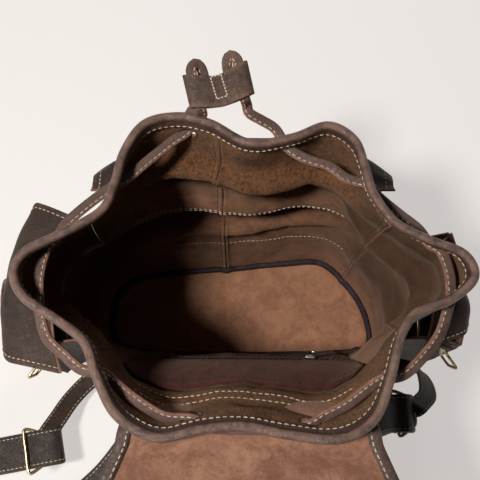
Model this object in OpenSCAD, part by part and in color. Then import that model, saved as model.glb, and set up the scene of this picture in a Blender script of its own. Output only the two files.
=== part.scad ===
// Leather drawstring backpack, standing with its mouth pulled open and its flap folded back.
// The front faces -Y, the back +Y, the wearer's left is +X, and the floor is z = 0.
// The origin is on the floor, under the middle of the base.

/* [Bag] */
// Height of the rim above the floor
rim_height = 360; // [340:5:370]
// Thickness of the leather panels
leather = 2.4; // [2:0.1:3]
// How far the walls belly out between the floor and the rim
belly = 8; // [2:1:12]
// Radius of the rolled binding around the rim
rim_radius = 4; // [3.4:0.1:4.4]

/* [Drawcord] */
// Width of the folded leather lace
lace_w = 9; // [7:0.5:9]
// Thickness of the folded leather lace
lace_t = 4; // [3:0.5:4]

/* [Pockets] */
// Height of the front pocket's top edge
front_pocket_top = 202; // [180:1:204]
// How far the front pocket's face stands in front of the origin
front_pocket_reach = 138; // [130:1:142]
// Height of the side pockets' top edges
side_pocket_top = 206; // [190:1:208]
// How far the side pockets' faces stand out from the middle
side_pocket_reach = 226; // [215:1:230]

/* [Flap] */
// Thickness of the flap
flap_t = 3; // [2.4:0.1:3.4]
// Length of the flap's rear stretch
flap_rear_len = 80; // [76:1:84]
// Length of the flap's middle stretch
flap_middle_len = 255; // [245:1:258]
// Length of the flap's nose
flap_front_len = 70; // [60:1:72]

/* [Straps] */
// Width of the shoulder straps
strap_w = 42; // [36:1:44]
// Thickness of the shoulder straps
strap_t = 6; // [5:0.5:7]
// Width of the lower straps
lower_strap_w = 22; // [18:1:24]

/* [Hidden] */

$fn = 48;
gap = 0.3;              // clearance between pieces that lie against each other
half = leather / 2;
seam = 0.0002;          // gap at a panel's edge, in turns around the bag
grain = [0.27, 0.22, 0.2];
edge_brown = [0.42, 0.3, 0.25];
suede = [0.55, 0.38, 0.28];
burgundy = [0.28, 0.1, 0.1];
dark = [0.16, 0.12, 0.12];
brass = [0.78, 0.66, 0.4];

// The middle line of the walls at the floor, from the front's middle towards the wearer's left
base_outline = [[0, -60], [58, -56], [112, -50], [156, -34], [170, 8], [160, 46], [112, 58],
    [56, 60], [0, 60], [-56, 60], [-112, 59], [-160, 50], [-162, 10], [-140, -34], [-104, -66],
    [-54, -66]];
// The same line at the rim, which the drawcord gathers into six lobes
rim_outline = [[-5, -73], [28, -91], [55, -98], [84, -91], [101, -65], [108, -36], [118, -12],
    [150, 8], [176, 22], [184, 40], [174, 60], [145, 79], [124, 96], [113, 122], [96, 151],
    [66, 167], [32, 161], [0, 159], [-34, 165], [-72, 168], [-98, 154], [-112, 124],
    [-121, 93], [-135, 73], [-163, 62], [-184, 44], [-178, 24], [-150, 12], [-124, -2],
    [-108, -26], [-102, -50], [-94, -76], [-72, -90], [-42, -79]];
// How sharply the walls turn from the base's outline to the rim's
flare = 2.2;

function wrapped(i, n) = ((i % n) + n) % n;
// A point on a closed smooth curve through points, at t turns
function closed_curve(points, t) =
    let (n = len(points), s = t * n, i = floor(s), f = s - i,
        a = points[wrapped(i - 1, n)], b = points[wrapped(i, n)],
        c = points[wrapped(i + 1, n)], d = points[wrapped(i + 2, n)])
    0.5 * (2 * b + (c - a) * f + (2 * a - 5 * b + 4 * c - d) * f * f
        + (3 * b - a - 3 * c + d) * f * f * f);
// A point on an open smooth curve through points, at s from 0 to len(points) - 1
function open_curve(points, s) =
    let (n = len(points), i = min(floor(s), n - 2), f = s - i,
        a = points[max(i - 1, 0)], b = points[i], c = points[i + 1], d = points[min(i + 2, n - 1)])
    0.5 * (2 * b + (c - a) * f + (2 * a - 5 * b + 4 * c - d) * f * f
        + (3 * b - a - 3 * c + d) * f * f * f);
function spaced(a, b, n) = [for (i = [0:n]) a + (b - a) * i / n];
function mix(a, b, f) = a + (b - a) * f;
function unit(v) = v / norm(v);
// A four-cornered face as two triangles, so that a twisted one is still exact
function halves(a, b, c, d) = [[a, b, c], [a, c, d]];

// The walls' middle surface: t turns around the bag, at height z, moved outwards by out
function wall_line(t, z) =
    mix(closed_curve(base_outline, t), closed_curve(rim_outline, t), pow(z / rim_height, flare));
function wall_out(t, z) =
    let (d = wall_line(t + 0.004, z) - wall_line(t - 0.004, z)) [d.y, -d.x] / norm(d);
function wall(t, z, out = 0) =
    let (p = wall_line(t, z) + wall_out(t, z) * (out + belly * sin(180 * z / rim_height)))
    [p.x, p.y, z];

// The slits that the drawcord runs through, in turns around the rim
slits_front_left = [0.052, 0.141];
slits_left = [0.212, 0.303];
slits_back = [0.385, 0.462, 0.544, 0.612];
slits_right = [0.712, 0.788];
slits_front_right = [0.871, 0.971];
slit_half = 0.008;      // half a slit's width, in turns
slit_z = [334, 344];
panel_bottom = 3.4;
panel_top = rim_height - rim_radius * cos(22.5) - 0.1;
heights = concat([panel_bottom, 14, 40, 80, 120, 160, 200, 235, 265, 290, 312], slit_z, [panel_top]);
slit_row = len(heights) - 3;
edge_front = 0.022;
edge_front_left = 0.185;
edge_back_left = 0.335;
edge_back_right = 0.665;
edge_front_right = 0.825;
column = 0.011;         // the most that neighbouring columns are apart, in turns

// Columns from a to b, with one exactly as wide as each slit
function columns(a, b, slits, i = 0) =
    let (stop = i < len(slits) ? slits[i] - slit_half : b,
        start = i == 0 ? a : slits[i - 1] + slit_half,
        n = ceil((stop - start) / column))
    concat(spaced(start, stop, n), i < len(slits) ? columns(a, b, slits, i + 1) : []);
// The index of the column that each slit is in
function slit_columns(a, b, slits) =
    let (all = columns(a, b, slits))
    [for (s = slits) [for (i = [0:len(all) - 2]) if (all[i] < s && all[i + 1] > s) i][0]];

/* A closed solid between two grids of points, rows of the same length. Columns run so that
   column direction x row direction points from inner to outer. holes are [row, column] cells
   that go right through. */
module slab(outer, inner, holes = []) {
    rows = len(outer);
    cols = len(outer[0]);
    size = rows * cols;
    function a(r, c) = r * cols + c;
    function b(r, c) = size + r * cols + c;
    function open(r, c) = len([for (h = holes) if (h == [r, c]) 1]) > 0;
    cells = [for (r = [0:rows - 2]) for (c = [0:cols - 2]) if (!open(r, c)) [r, c]];
    function low(r, c) = halves(a(r, c), a(r, c + 1), b(r, c + 1), b(r, c));
    function high(r, c) = halves(a(r, c), b(r, c), b(r, c + 1), a(r, c + 1));
    function left(r, c) = halves(b(r, c), b(r + 1, c), a(r + 1, c), a(r, c));
    function right(r, c) = halves(a(r, c), a(r + 1, c), b(r + 1, c), b(r, c));
    polyhedron(
        points = concat([for (row = outer) each row], [for (row = inner) each row]),
        faces = concat(
            [for (p = cells) let (r = p[0], c = p[1])
                each halves(a(r, c), a(r + 1, c), a(r + 1, c + 1), a(r, c + 1))],
            [for (p = cells) let (r = p[0], c = p[1])
                each halves(b(r, c), b(r, c + 1), b(r + 1, c + 1), b(r + 1, c))],
            [for (c = [0:cols - 2]) each low(0, c)],
            [for (c = [0:cols - 2]) each high(rows - 1, c)],
            [for (r = [0:rows - 2]) each left(r, 0)],
            [for (r = [0:rows - 2]) each right(r, cols - 1)],
            [for (h = holes) each high(h[0], h[1])],
            [for (h = holes) each low(h[0] + 1, h[1])],
            [for (h = holes) each right(h[0], h[1])],
            [for (h = holes) each left(h[0], h[1] + 1)]));
}

// A panel of the bag's wall between two edges, with the slits it holds
module wall_panel(a, b, slits) {
    all = columns(a + seam, b - seam, slits);
    slab([for (z = heights) [for (t = all) wall(t, z, half)]],
        [for (z = heights) [for (t = all) wall(t, z, -half)]],
        [for (c = slit_columns(a + seam, b - seam, slits)) [slit_row, c]]);
}

// A patch that lies against the wall, from out_low to out_high in front of the middle surface
module wall_patch(a, b, z_low, z_high, out_low, out_high, nx = 12, nz = 4) {
    slab([for (z = spaced(z_low, z_high, nz)) [for (t = spaced(a, b, nx)) wall(t, z, out_high)]],
        [for (z = spaced(z_low, z_high, nz)) [for (t = spaced(a, b, nx)) wall(t, z, out_low)]]);
}

// A closed solid through rings of points, open at both ends of the route or joined into a loop
module tube(rings, loop = false) {
    n = len(rings);
    k = len(rings[0]);
    last = loop ? n - 1 : n - 2;
    function at(i, j) = (i % n) * k + j % k;
    polyhedron(
        points = [for (r = rings) each r],
        faces = concat(
            [for (i = [0:last]) for (j = [0:k - 1])
                each halves(at(i, j), at(i, j + 1), at(i + 1, j + 1), at(i + 1, j))],
            loop ? [] : [[for (j = [k - 1:-1:0]) at(0, j)]],
            loop ? [] : [[for (j = [0:k - 1]) at(n - 1, j)]]));
}

// A round ring of 8 points at p, for a tube that runs level around the bag with its outside at out
function level_ring(p, out, r) =
    [for (j = [7:-1:0]) p + r * cos(45 * j + 22.5) * [out.x, out.y, 0] + [0, 0, r * sin(45 * j + 22.5)]];

// Rings of a flat lace or strap along a route of [x, y, z, heading of its width in degrees]
function flat_ring(route, s, w, t) =
    let (p = open_curve(route, s), e = 0.02, n = len(route) - 1,
        ahead = open_curve(route, min(s + e, n)), behind = open_curve(route, max(s - e, 0)),
        along = unit([ahead.x - behind.x, ahead.y - behind.y, ahead.z - behind.z]),
        raw = [cos(p[3]), sin(p[3]), 0],
        side = unit(raw - along * (raw * along)),
        face = cross(along, side), c = [p.x, p.y, p.z])
    [c - side * w / 2 - face * t / 2, c - side * w / 2 + face * t / 2,
        c + side * w / 2 + face * t / 2, c + side * w / 2 - face * t / 2];
module strap(route, w, t, steps = 4) {
    tube([for (s = spaced(0, len(route) - 1, (len(route) - 1) * steps)) flat_ring(route, s, w, t)]);
}

module mirrored(is_right) {
    mirror([is_right ? 1 : 0, 0, 0]) children();
}

/* ---- the bag's shell ---- */

module base_panel() {
    color(grain) linear_extrude(3)
        polygon([for (i = [0:63]) closed_curve(base_outline, i / 64)]);
}

module base_piping() {
    r = 2.8;
    turns = 64;
    color(dark) tube([for (i = [0:turns - 1]) let (t = i / turns)
        level_ring(wall(t, 7, -half - r - 0.4), wall_out(t, 7), r)], loop = true);
}

module front_panel_left() {
    color(grain) wall_panel(edge_front, edge_front_left, slits_front_left);
}

module front_panel_right() {
    color(grain) wall_panel(edge_front_right, 1 + edge_front, slits_front_right);
}

module back_panel() {
    color(grain) wall_panel(edge_back_left, edge_back_right, slits_back);
}

module gusset_left() {
    color(grain) wall_panel(edge_front_left, edge_back_left, slits_left);
}

module gusset_right() {
    color(grain) wall_panel(edge_back_right, edge_front_right, slits_right);
}

module rim_binding() {
    turns = 102;
    color(edge_brown) tube([for (i = [0:turns - 1]) let (t = i / turns)
        level_ring(wall(t, rim_height, 0), wall_out(t, rim_height), rim_radius)], loop = true);
}

/* ---- drawcord and its toggle ---- */

cord_z = 339;
// The toggle's middle, and its axes: across, along the lace, and out of its face
toggle_at = [21, -118, 379];
toggle_tilt = 20;
toggle_pitch = 19;      // from the toggle's middle to each channel
toggle_len = 28;
function toggle_point(across, along, up) =
    toggle_at + [across, -along * cos(toggle_tilt) + up * sin(toggle_tilt),
        along * sin(toggle_tilt) + up * cos(toggle_tilt)];
function at_slit(t, out = 0) = wall(t, cord_z, out);
// One end of the lace: up through a channel, over in an arch, and down behind the toggle
function lace_end(side) = [
    toggle_point(side * (toggle_pitch + 1), -20, -13), toggle_point(side * toggle_pitch, -16, -1),
    toggle_point(side * toggle_pitch, -6, 0), toggle_point(side * toggle_pitch, 8, 0),
    toggle_point(side * toggle_pitch, 20, 0), toggle_point(side * (toggle_pitch - 2), 28, -1),
    toggle_point(side * (toggle_pitch - 9), 32, -4), toggle_point(side * (toggle_pitch - 13), 26, -9),
    toggle_point(side * (toggle_pitch - 13), 14, -11)];
function reversed(list) = [for (i = [len(list) - 1:-1:0]) list[i]];
// The lace's route: out of one channel, around the bag through the twelve slits, and back
lace_route = concat(reversed(lace_end(1)),
    [[46, -107, 352], at_slit(0.052, 2), [64, -84, 338], [86, -64, 338], [102, -49, 338],
    at_slit(0.141, 1), [124, -34, 338], [140, -20, 338], [151, -8, 338], at_slit(0.212, 0),
    [166, 14, 338], [170, 38, 338], [168, 60, 338], at_slit(0.303, 1), [160, 88, 338],
    [146, 101, 338], [130, 114, 338], at_slit(0.385, 0), [101, 126, 338], [82, 140, 338],
    [62, 151, 338], at_slit(0.462, 1), [24, 159, 338], [0, 160, 338], [-26, 160, 338],
    at_slit(0.544, 1), [-64, 150, 338], [-82, 141, 338], [-100, 128, 338], at_slit(0.612, 0),
    [-128, 118, 338], [-146, 102, 338], [-160, 84, 338], at_slit(0.712, 1), [-171, 52, 338],
    [-171, 34, 338], [-166, 16, 338], at_slit(0.788, 0), [-148, -4, 338], [-132, -18, 338],
    [-116, -33, 338], at_slit(0.871, 1), [-90, -50, 338], [-74, -62, 338], [-56, -68, 338],
    at_slit(0.971, 0), [-28, -93, 346], [-15, -99, 352], [-5, -103, 357]],
    lace_end(-1));
lace_up = [0, 0.4, 0.9];
function lace_ring(s) =
    let (e = 0.05, n = len(lace_route) - 1, p = open_curve(lace_route, s),
        along = unit(open_curve(lace_route, min(s + e, n)) - open_curve(lace_route, max(s - e, 0))),
        side = unit(cross(along, lace_up)), up = cross(side, along),
        w = lace_w / 2, t = lace_t / 2, b = 1.2)
    [for (q = [[-w, b - t], [-w, t - b], [b - w, t], [w - b, t], [w, t - b], [w, b - t], [w - b, -t], [b - w, -t]])
        p + side * q[0] + up * q[1]];

module drawcord() {
    color(edge_brown) tube(reversed([for (s = spaced(0, len(lace_route) - 1, (len(lace_route) - 1) * 2))
        lace_ring(s)]));
}

module cord_toggle() {
    channel_w = lace_w + 1.6;
    channel_t = lace_t + 1.4;
    skin = 2;
    color(grain)
    translate(toggle_at) rotate([90 - toggle_tilt, 0, 0]) translate([0, 0, -toggle_len / 2])
    linear_extrude(toggle_len) difference() {
        union() {
            square([2 * toggle_pitch, 2 * skin + 0.6], center = true);
            for (side = [-1, 1]) translate([side * toggle_pitch, 0])
                square([channel_w + 2 * skin, channel_t + 2 * skin], center = true);
        }
        for (side = [-1, 1]) translate([side * toggle_pitch, 0])
            square([channel_w, channel_t], center = true);
    }
}

/* ---- front pocket ---- */

front_pocket_low = 46;
front_pocket_half = 140;
front_pocket_edges = [0.842, 1.145];
// The pocket's face bulges forwards, and a little more at the top
function front_face(s, z, back = 0) =
    let (u = 2 * s - 1, rise = (z - front_pocket_low) / (front_pocket_top - front_pocket_low))
    [front_pocket_half * u, back - front_pocket_reach + 14 * u * u + 12 * (1 - rise) * (1 - rise), z];
front_rows = spaced(front_pocket_low, front_pocket_top, 6);

module front_pocket_face() {
    color(grain) slab(
        [for (z = front_rows) [for (s = spaced(0, 1, 16)) front_face(s, z)]],
        [for (z = front_rows) [for (s = spaced(0, 1, 16)) front_face(s, z, leather)]]);
}

module front_pocket_gusset() {
    off = half + 2 * gap;
    turn = 0.004;       // how far apart the leather's two faces meet the wall, in turns
    top_rows = spaced(front_pocket_low + leather, front_pocket_top, 6);
    face_back = leather + 0.1;
    left = front_pocket_edges[1];
    right = front_pocket_edges[0];
    shift = [leather, 0, 0];
    color(grain) {
        // the side on the wearer's left
        slab([for (z = top_rows) [for (f = [0:0.25:1])
                mix(front_face(1, z, face_back), wall(left, z, off), f)]],
            [for (z = top_rows) [for (f = [0:0.25:1])
                mix(front_face(1, z, face_back) - shift, wall(left - turn, z, off), f)]]);
        // the side on the wearer's right
        slab([for (z = top_rows) [for (f = [0:0.25:1])
                mix(wall(right, z, off), front_face(0, z, face_back), f)]],
            [for (z = top_rows) [for (f = [0:0.25:1])
                mix(wall(right + turn, z, off), front_face(0, z, face_back) + shift, f)]]);
        // the bottom
        slab([for (f = [0:0.25:1]) [for (s = spaced(1, 0, 16))
                mix(front_face(s, front_pocket_low, face_back),
                    wall(mix(right, left, s), front_pocket_low, off), f)]],
            [for (f = [0:0.25:1]) [for (s = spaced(1, 0, 16))
                mix(front_face(s, front_pocket_low, face_back),
                    wall(mix(right, left, s), front_pocket_low, off), f) + [0, 0, leather]]]);
    }
}

// The front pocket's flap turns about a level line at the front wall
front_flap_pivot = [0, -84, 214];
front_flap_out = front_pocket_reach + 6;
front_flap_drop = 78;
front_flap_z = 206;

module front_pocket_flap() {
    w = 2 * front_pocket_half + 6;
    color(grain) translate([w / 2, 0, 0]) rotate([90, 0, -90]) linear_extrude(w) polygon([
        [84, front_flap_z + leather + 6], [84 + leather, front_flap_z + leather + 6],
        [90, front_flap_z + leather], [front_flap_out - 8, front_flap_z + leather],
        [front_flap_out, front_flap_z - 5], [front_flap_out, front_flap_z - front_flap_drop],
        [front_flap_out - leather, front_flap_z - front_flap_drop],
        [front_flap_out - leather, front_flap_z - 5], [front_flap_out - 9, front_flap_z],
        [89, front_flap_z]]);
}

module front_pocket_strap() {
    color(grain) translate([-13, -front_flap_out - gap - 2.2, 104]) cube([26, 2.2, 92]);
}

module front_pocket_stud() {
    color(brass) translate([0, -front_flap_out - gap - 2.2, 116]) rotate([90, 0, 0]) {
        cylinder(h = 1.6, r = 7);
        translate([0, 0, 1.6]) cylinder(h = 1.4, r1 = 7, r2 = 4);
    }
}

/* ---- side pockets ---- */

side_pocket_low = 40;
// For each side: where the pocket's gusset meets the wall, and the face's front and back edges
side_edges = [[0.172, 0.328], [0.83, 0.672]];
side_face_y = [[-50, 84], [-42, 74]];
function side_face(is_right, s, z, in = 0) =
    let (u = 2 * s - 1, sign = is_right ? -1 : 1, ys = side_face_y[is_right ? 1 : 0],
        rise = (z - side_pocket_low) / (side_pocket_top - side_pocket_low))
    [sign * (side_pocket_reach - in - 9 * u * u - 8 * (1 - rise) * (1 - rise)), mix(ys[0], ys[1], s), z];
function side_root(is_right, s, z) =
    let (e = side_edges[is_right ? 1 : 0]) wall(mix(e[0], e[1], s), z, half + 2 * gap);
side_rows = spaced(side_pocket_low, side_pocket_top, 6);

// A slab whose columns are turned round on the right side, so that it faces outwards there too
module side_slab(is_right, outer, inner) {
    slab(is_right ? [for (row = outer) reversed(row)] : outer,
        is_right ? [for (row = inner) reversed(row)] : inner);
}

module side_pocket_face(is_right) {
    color(grain) side_slab(is_right,
        [for (z = side_rows) [for (s = spaced(0, 1, 10)) side_face(is_right, s, z)]],
        [for (z = side_rows) [for (s = spaced(0, 1, 10)) side_face(is_right, s, z, leather)]]);
}

module side_pocket_gusset(is_right) {
    in = leather + 0.1;
    turn = 0.03;        // how far apart the leather's two faces meet the wall, along side_root
    rows = spaced(side_pocket_low + leather, side_pocket_top, 6);
    color(grain) {
        // the front side
        side_slab(is_right,
            [for (z = rows) [for (f = [0:0.25:1])
                mix(side_root(is_right, 0, z), side_face(is_right, 0, z, in), f)]],
            [for (z = rows) [for (f = [0:0.25:1])
                mix(side_root(is_right, turn, z), side_face(is_right, 0, z, in) + [0, leather, 0], f)]]);
        // the back side
        side_slab(is_right,
            [for (z = rows) [for (f = [0:0.25:1])
                mix(side_face(is_right, 1, z, in), side_root(is_right, 1, z), f)]],
            [for (z = rows) [for (f = [0:0.25:1])
                mix(side_face(is_right, 1, z, in) - [0, leather, 0], side_root(is_right, 1 - turn, z), f)]]);
        // the bottom
        side_slab(is_right,
            [for (s = spaced(0, 1, 20)) [for (f = [0:0.25:1])
                mix(side_face(is_right, s, side_pocket_low, in), side_root(is_right, s, side_pocket_low), f)]],
            [for (s = spaced(0, 1, 20)) [for (f = [0:0.25:1])
                mix(side_face(is_right, s, side_pocket_low, in), side_root(is_right, s, side_pocket_low), f)
                + [0, 0, leather]]]);
    }
}

side_flap_z = 210;
side_flap_out = side_pocket_reach + 5;
side_flap_in = 189;
side_flap_drop = 66;
side_flap_y = [[-54, 88], [-46, 78]];

module side_pocket_flap(is_right) {
    ys = side_flap_y[is_right ? 1 : 0];
    color(grain) mirrored(is_right) translate([0, ys[1], 0]) rotate([90, 0, 0])
    linear_extrude(ys[1] - ys[0]) polygon([
        [side_flap_in, side_flap_z + leather + 8], [side_flap_in + leather, side_flap_z + leather + 8],
        [side_flap_in + 6, side_flap_z + leather], [side_flap_out - 8, side_flap_z + leather],
        [side_flap_out, side_flap_z - 5], [side_flap_out, side_flap_z - side_flap_drop],
        [side_flap_out - leather, side_flap_z - side_flap_drop],
        [side_flap_out - leather, side_flap_z - 5], [side_flap_out - 9, side_flap_z],
        [side_flap_in + 5, side_flap_z], [side_flap_in, side_flap_z + 4]]);
}

// The strap down the flap's face, held by a stitched keeper and ending at a stud
module side_pocket_strap(is_right) {
    color(grain) mirrored(is_right)
        translate([side_flap_out + gap, 6, 128]) cube([2.2, 24, 70]);
}

module side_pocket_keeper(is_right) {
    color(edge_brown) mirrored(is_right) translate([side_flap_out + gap, 0, 176]) rotate([0, 0, 0])
    linear_extrude(14) polygon([[0, 0], [2, 0], [4.8, 5], [4.8, 31], [2, 36], [0, 36], [0, 33.4],
        [1, 32], [2.6, 30.4], [2.6, 5.6], [1, 4], [0, 2.6]]);
}

module side_pocket_stud(is_right) {
    color(dark) mirrored(is_right) translate([side_flap_out + gap + 2.2, 18, 138]) rotate([0, 90, 0]) {
        cylinder(h = 1.6, r = 6.5);
        translate([0, 0, 1.6]) cylinder(h = 1.4, r1 = 6.5, r2 = 4);
    }
}

/* ---- zipped pocket inside the back wall ---- */

zip_edges = [0.395, 0.605];
zip_low = 125;
zip_high = 288;
zip_z = 228;
zip_half = 82;          // half the length of the zip
zip_shift = -2;         // how far the zip's middle is towards the wearer's left
zip_skin = -half - gap;

// The pocket is sewn to the wall at its top and bottom, and runs straight across at the zip
function zip_face(t, z, in) =
    let (s = (t - zip_edges[0]) / (zip_edges[1] - zip_edges[0]), reach = z > zip_z ? zip_high - zip_z : zip_z - zip_low,
        straight = 1 - pow((z - zip_z) / reach, 2))
    mix(wall(t, z, zip_skin - in), mix(wall(zip_edges[0], z, zip_skin - in), wall(zip_edges[1], z, zip_skin - in), s),
        straight);
zip_a = zip_face(zip_edges[0], zip_z, 0);
zip_b = zip_face(zip_edges[1], zip_z, 0);
zip_heading = atan2(zip_a.y - zip_b.y, zip_a.x - zip_b.x);
function zip_turn(x) = mix(zip_edges[0], zip_edges[1], (zip_a.x - x) / (zip_a.x - zip_b.x));

// Children are drawn with +X along the zip, -Y into the bag and the zip's middle at the origin
module at_zip() {
    translate(mix(zip_a, zip_b, (zip_a.x - zip_shift) / (zip_a.x - zip_b.x)))
        rotate([0, 0, zip_heading]) children();
}

module zip_patch(t_a, t_b, z_low, z_high, nx, nz) {
    slab([for (z = spaced(z_low, z_high, nz)) [for (t = spaced(t_a, t_b, nx)) zip_face(t, z, 0)]],
        [for (z = spaced(z_low, z_high, nz)) [for (t = spaced(t_a, t_b, nx)) zip_face(t, z, 1.8)]]);
}

module zip_pocket_panel() {
    opening = 5;
    side_a = zip_turn(zip_shift + zip_half + 1);
    side_b = zip_turn(zip_shift - zip_half - 1);
    color(burgundy) {
        zip_patch(zip_edges[0], zip_edges[1], zip_low, zip_z - opening, 16, 5);
        zip_patch(zip_edges[0], zip_edges[1], zip_z + opening, zip_high, 16, 4);
        zip_patch(zip_edges[0], side_a, zip_z - opening + 0.02, zip_z + opening - 0.02, 2, 1);
        zip_patch(side_b, zip_edges[1], zip_z - opening + 0.02, zip_z + opening - 0.02, 2, 1);
    }
}

module zip_tapes() {
    color(dark) at_zip() for (side = [-1, 1])
        translate([-zip_half, -1.5, side * 3.25 - 1.45]) cube([2 * zip_half, 1, 2.9]);
}

module zip_coil() {
    color(dark) at_zip() translate([-zip_half, -2, -1.6]) cube([2 * zip_half, 1.8, 3.2]);
}

// The slider starts near the wearer's right end of the zip
slider_x = -62;

// Children are drawn with +X out of the wall, into the bag along -X, and +Y along the zip
module at_slider() {
    at_zip() translate([slider_x, -2.4, 0]) rotate([0, 0, 90]) children();
}

module zip_slider() {
    color(brass) at_slider() {
        translate([-2, -5, -4]) cube([2, 10, 8]);
        difference() {
            translate([-5, -3, -1.5]) cube([3, 6, 3]);
            translate([-3.6, -1.6, -2]) cube([1.7, 3.2, 4]);
        }
    }
}

module zip_pull() {
    color(brass) at_slider() difference() {
        union() {
            translate([-7.2, -3.5, -32]) cube([1.4, 7, 24.5]);
            translate([-7.2, 0, -7.5]) rotate([0, 90, 0]) cylinder(h = 1.4, r = 3.5);
        }
        translate([-8, 0, -26]) rotate([0, 90, 0]) cylinder(h = 4, r = 2);
    }
}

/* ---- main flap ---- */

// The flap turns about a level line just outside the rim's back
flap_pivot = [-4, 177, 352];
flap_below = 22;        // the flap's leather lies this far under its pivot when it is open
rear_slope = -12;
middle_slope = -68;
front_slope = -80;
rear_half = 104;
flap_half = 134;
binding_lip = 9;
fold_gap = 2.2;         // room for the leather's thickness where the flap folds
binding_t = 1.1;

module flap_strip() {
    color(grain) wall_patch(0.408, 0.592, 286, 326, half + 2 * gap, half + 2 * gap + leather, 16, 4);
}

// Children are drawn flat: +Y runs along the flap from its pivot, +Z is the suede side
module rear_frame() {
    translate(flap_pivot) rotate([rear_slope, 0, 0]) translate([0, 0, -flap_below]) children();
}
module middle_frame() {
    rear_frame() translate([0, flap_rear_len, 0]) rotate([middle_slope - rear_slope, 0, 0]) children();
}
module front_frame() {
    middle_frame() translate([0, flap_middle_len, 0]) rotate([front_slope - middle_slope, 0, 0]) children();
}

module flap_rear() {
    color(suede) {
        rear_frame() translate([0, 0, -flap_t]) linear_extrude(flap_t)
            polygon([[-rear_half, 0.1], [rear_half, 0.1], [rear_half + 18, 40], [flap_half, flap_rear_len - fold_gap],
                [-flap_half, flap_rear_len - fold_gap], [-rear_half - 18, 40]]);
        // the stretch that stands up from the leather to the pivot
        rear_frame() translate([-rear_half, -flap_t + 0.1, -flap_t]) cube([2 * rear_half, flap_t, flap_below + flap_t - 2]);
    }
}

module flap_middle() {
    color(suede) middle_frame() translate([-flap_half, fold_gap, -flap_t])
        cube([2 * flap_half, flap_middle_len - fold_gap - 0.6, flap_t]);
}

nose_r = 44;
// The nose's outline, grown outwards
module nose_shape(grow) {
    square_end = flap_front_len - nose_r;
    translate([-flap_half - grow, 0.6]) square([2 * (flap_half + grow), square_end - 0.6]);
    translate([-flap_half + nose_r, square_end]) square([2 * (flap_half - nose_r), nose_r + grow]);
    for (side = [-1, 1]) translate([side * (flap_half - nose_r), square_end]) intersection() {
        circle(r = nose_r + grow);
        translate([side > 0 ? 0 : -nose_r - 10, 0]) square([nose_r + 10, nose_r + 10]);
    }
}

module flap_front() {
    color(suede) front_frame() translate([0, 0, -flap_t]) linear_extrude(flap_t) nose_shape(0);
}

// A folded leather edge around a straight side of the flap, as long as length
module edge_channel(length) {
    rotate([-90, 0, 0]) linear_extrude(length) polygon([[-binding_lip, -gap / 3 - binding_t],
        [1.6, -gap / 3 - binding_t], [1.6, flap_t + gap / 3 + binding_t],
        [-binding_lip, flap_t + gap / 3 + binding_t], [-binding_lip, flap_t + gap / 3], [gap / 3, flap_t + gap / 3],
        [gap / 3, -gap / 3], [-binding_lip, -gap / 3]]);
}

module flap_binding_rear() {
    slant = atan2(flap_half - rear_half - 18, flap_rear_len - fold_gap - 40);
    color(edge_brown) rear_frame() for (side = [0, 1]) mirror([side, 0, 0])
        translate([rear_half + 18.7, 41, 0]) rotate([0, 0, -slant]) edge_channel(34.5);
}

module flap_binding_middle() {
    color(edge_brown) middle_frame() for (side = [0, 1]) mirror([side, 0, 0])
        translate([flap_half, 2, 0]) edge_channel(flap_middle_len - 4);
}

module flap_binding_front() {
    lip = binding_t;
    color(edge_brown) front_frame() translate([0, 0, -flap_t / 2]) difference() {
        translate([0, 0, -flap_t / 2 - lip - 0.1]) linear_extrude(flap_t + 2 * lip + 0.2) nose_shape(1.6);
        translate([0, 0, -flap_t / 2 - 0.1]) linear_extrude(flap_t + 0.2) nose_shape(0.1);
        translate([0, 0, -flap_t]) linear_extrude(2 * flap_t) nose_shape(-binding_lip);
        translate([-200, -1, -10]) cube([400, 2.6, 20]);
    }
}

// The closing strap is stitched to the outside of the nose
module flap_strap() {
    color(grain) front_frame() translate([-15, 8, -flap_t - gap - 2.4 - binding_t]) cube([30, 58, 2.4]);
}

module flap_stud() {
    color(brass) front_frame() translate([0, 56, -flap_t - gap - 2.4 - binding_t]) rotate([180, 0, 0]) {
        cylinder(h = 1.6, r = 7);
        translate([0, 0, 1.6]) cylinder(h = 1.4, r1 = 7, r2 = 4);
    }
}

/* ---- handle, straps and rings on the back ---- */

yoke_z = [196, 240];
module strap_yoke() {
    color(grain) wall_patch(0.452, 0.548, yoke_z[0], yoke_z[1], half + gap, half + gap + leather, 8, 4);
}

handle_z = 262;
handle_half = 46;
handle_y = wall(0.5, handle_z, 0).y + 12.5;
module handle_tabs() {
    color(grain) for (side = [-1, 1])
        wall_patch(0.5 - side * 0.058, 0.5 - side * 0.058 + 0.022, handle_z - 12, handle_z + 12,
            half + gap, half + gap + leather, 3, 2);
}

handle_pivot = [0, handle_y, handle_z];
handle_route = [[-handle_half, handle_y, handle_z, 90], [-44, handle_y + 12, handle_z - 2, 80],
    [-32, handle_y + 27, handle_z - 8, 90], [0, handle_y + 34, handle_z - 12, 90],
    [32, handle_y + 27, handle_z - 8, 90], [44, handle_y + 12, handle_z - 2, 100],
    [handle_half, handle_y, handle_z, 90]];
module top_handle() {
    path = [for (p = handle_route) [p.x, p.y, p.z]];
    n = len(path) - 1;
    color(grain) tube([for (s = spaced(0, n, 24))
        let (p = open_curve(path, s),
            along = unit(open_curve(path, min(s + 0.1, n)) - open_curve(path, max(s - 0.1, 0))),
            side = unit(cross(along, [0, 0.3, 1])), up = cross(side, along))
        [for (q = reversed([[-9, -2], [-9, 2], [-6, 3.5], [6, 3.5], [9, 2], [9, -2], [6, -3.5], [-6, -3.5]]))
            p + side * q[0] + up * q[1]]]);
}

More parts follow.
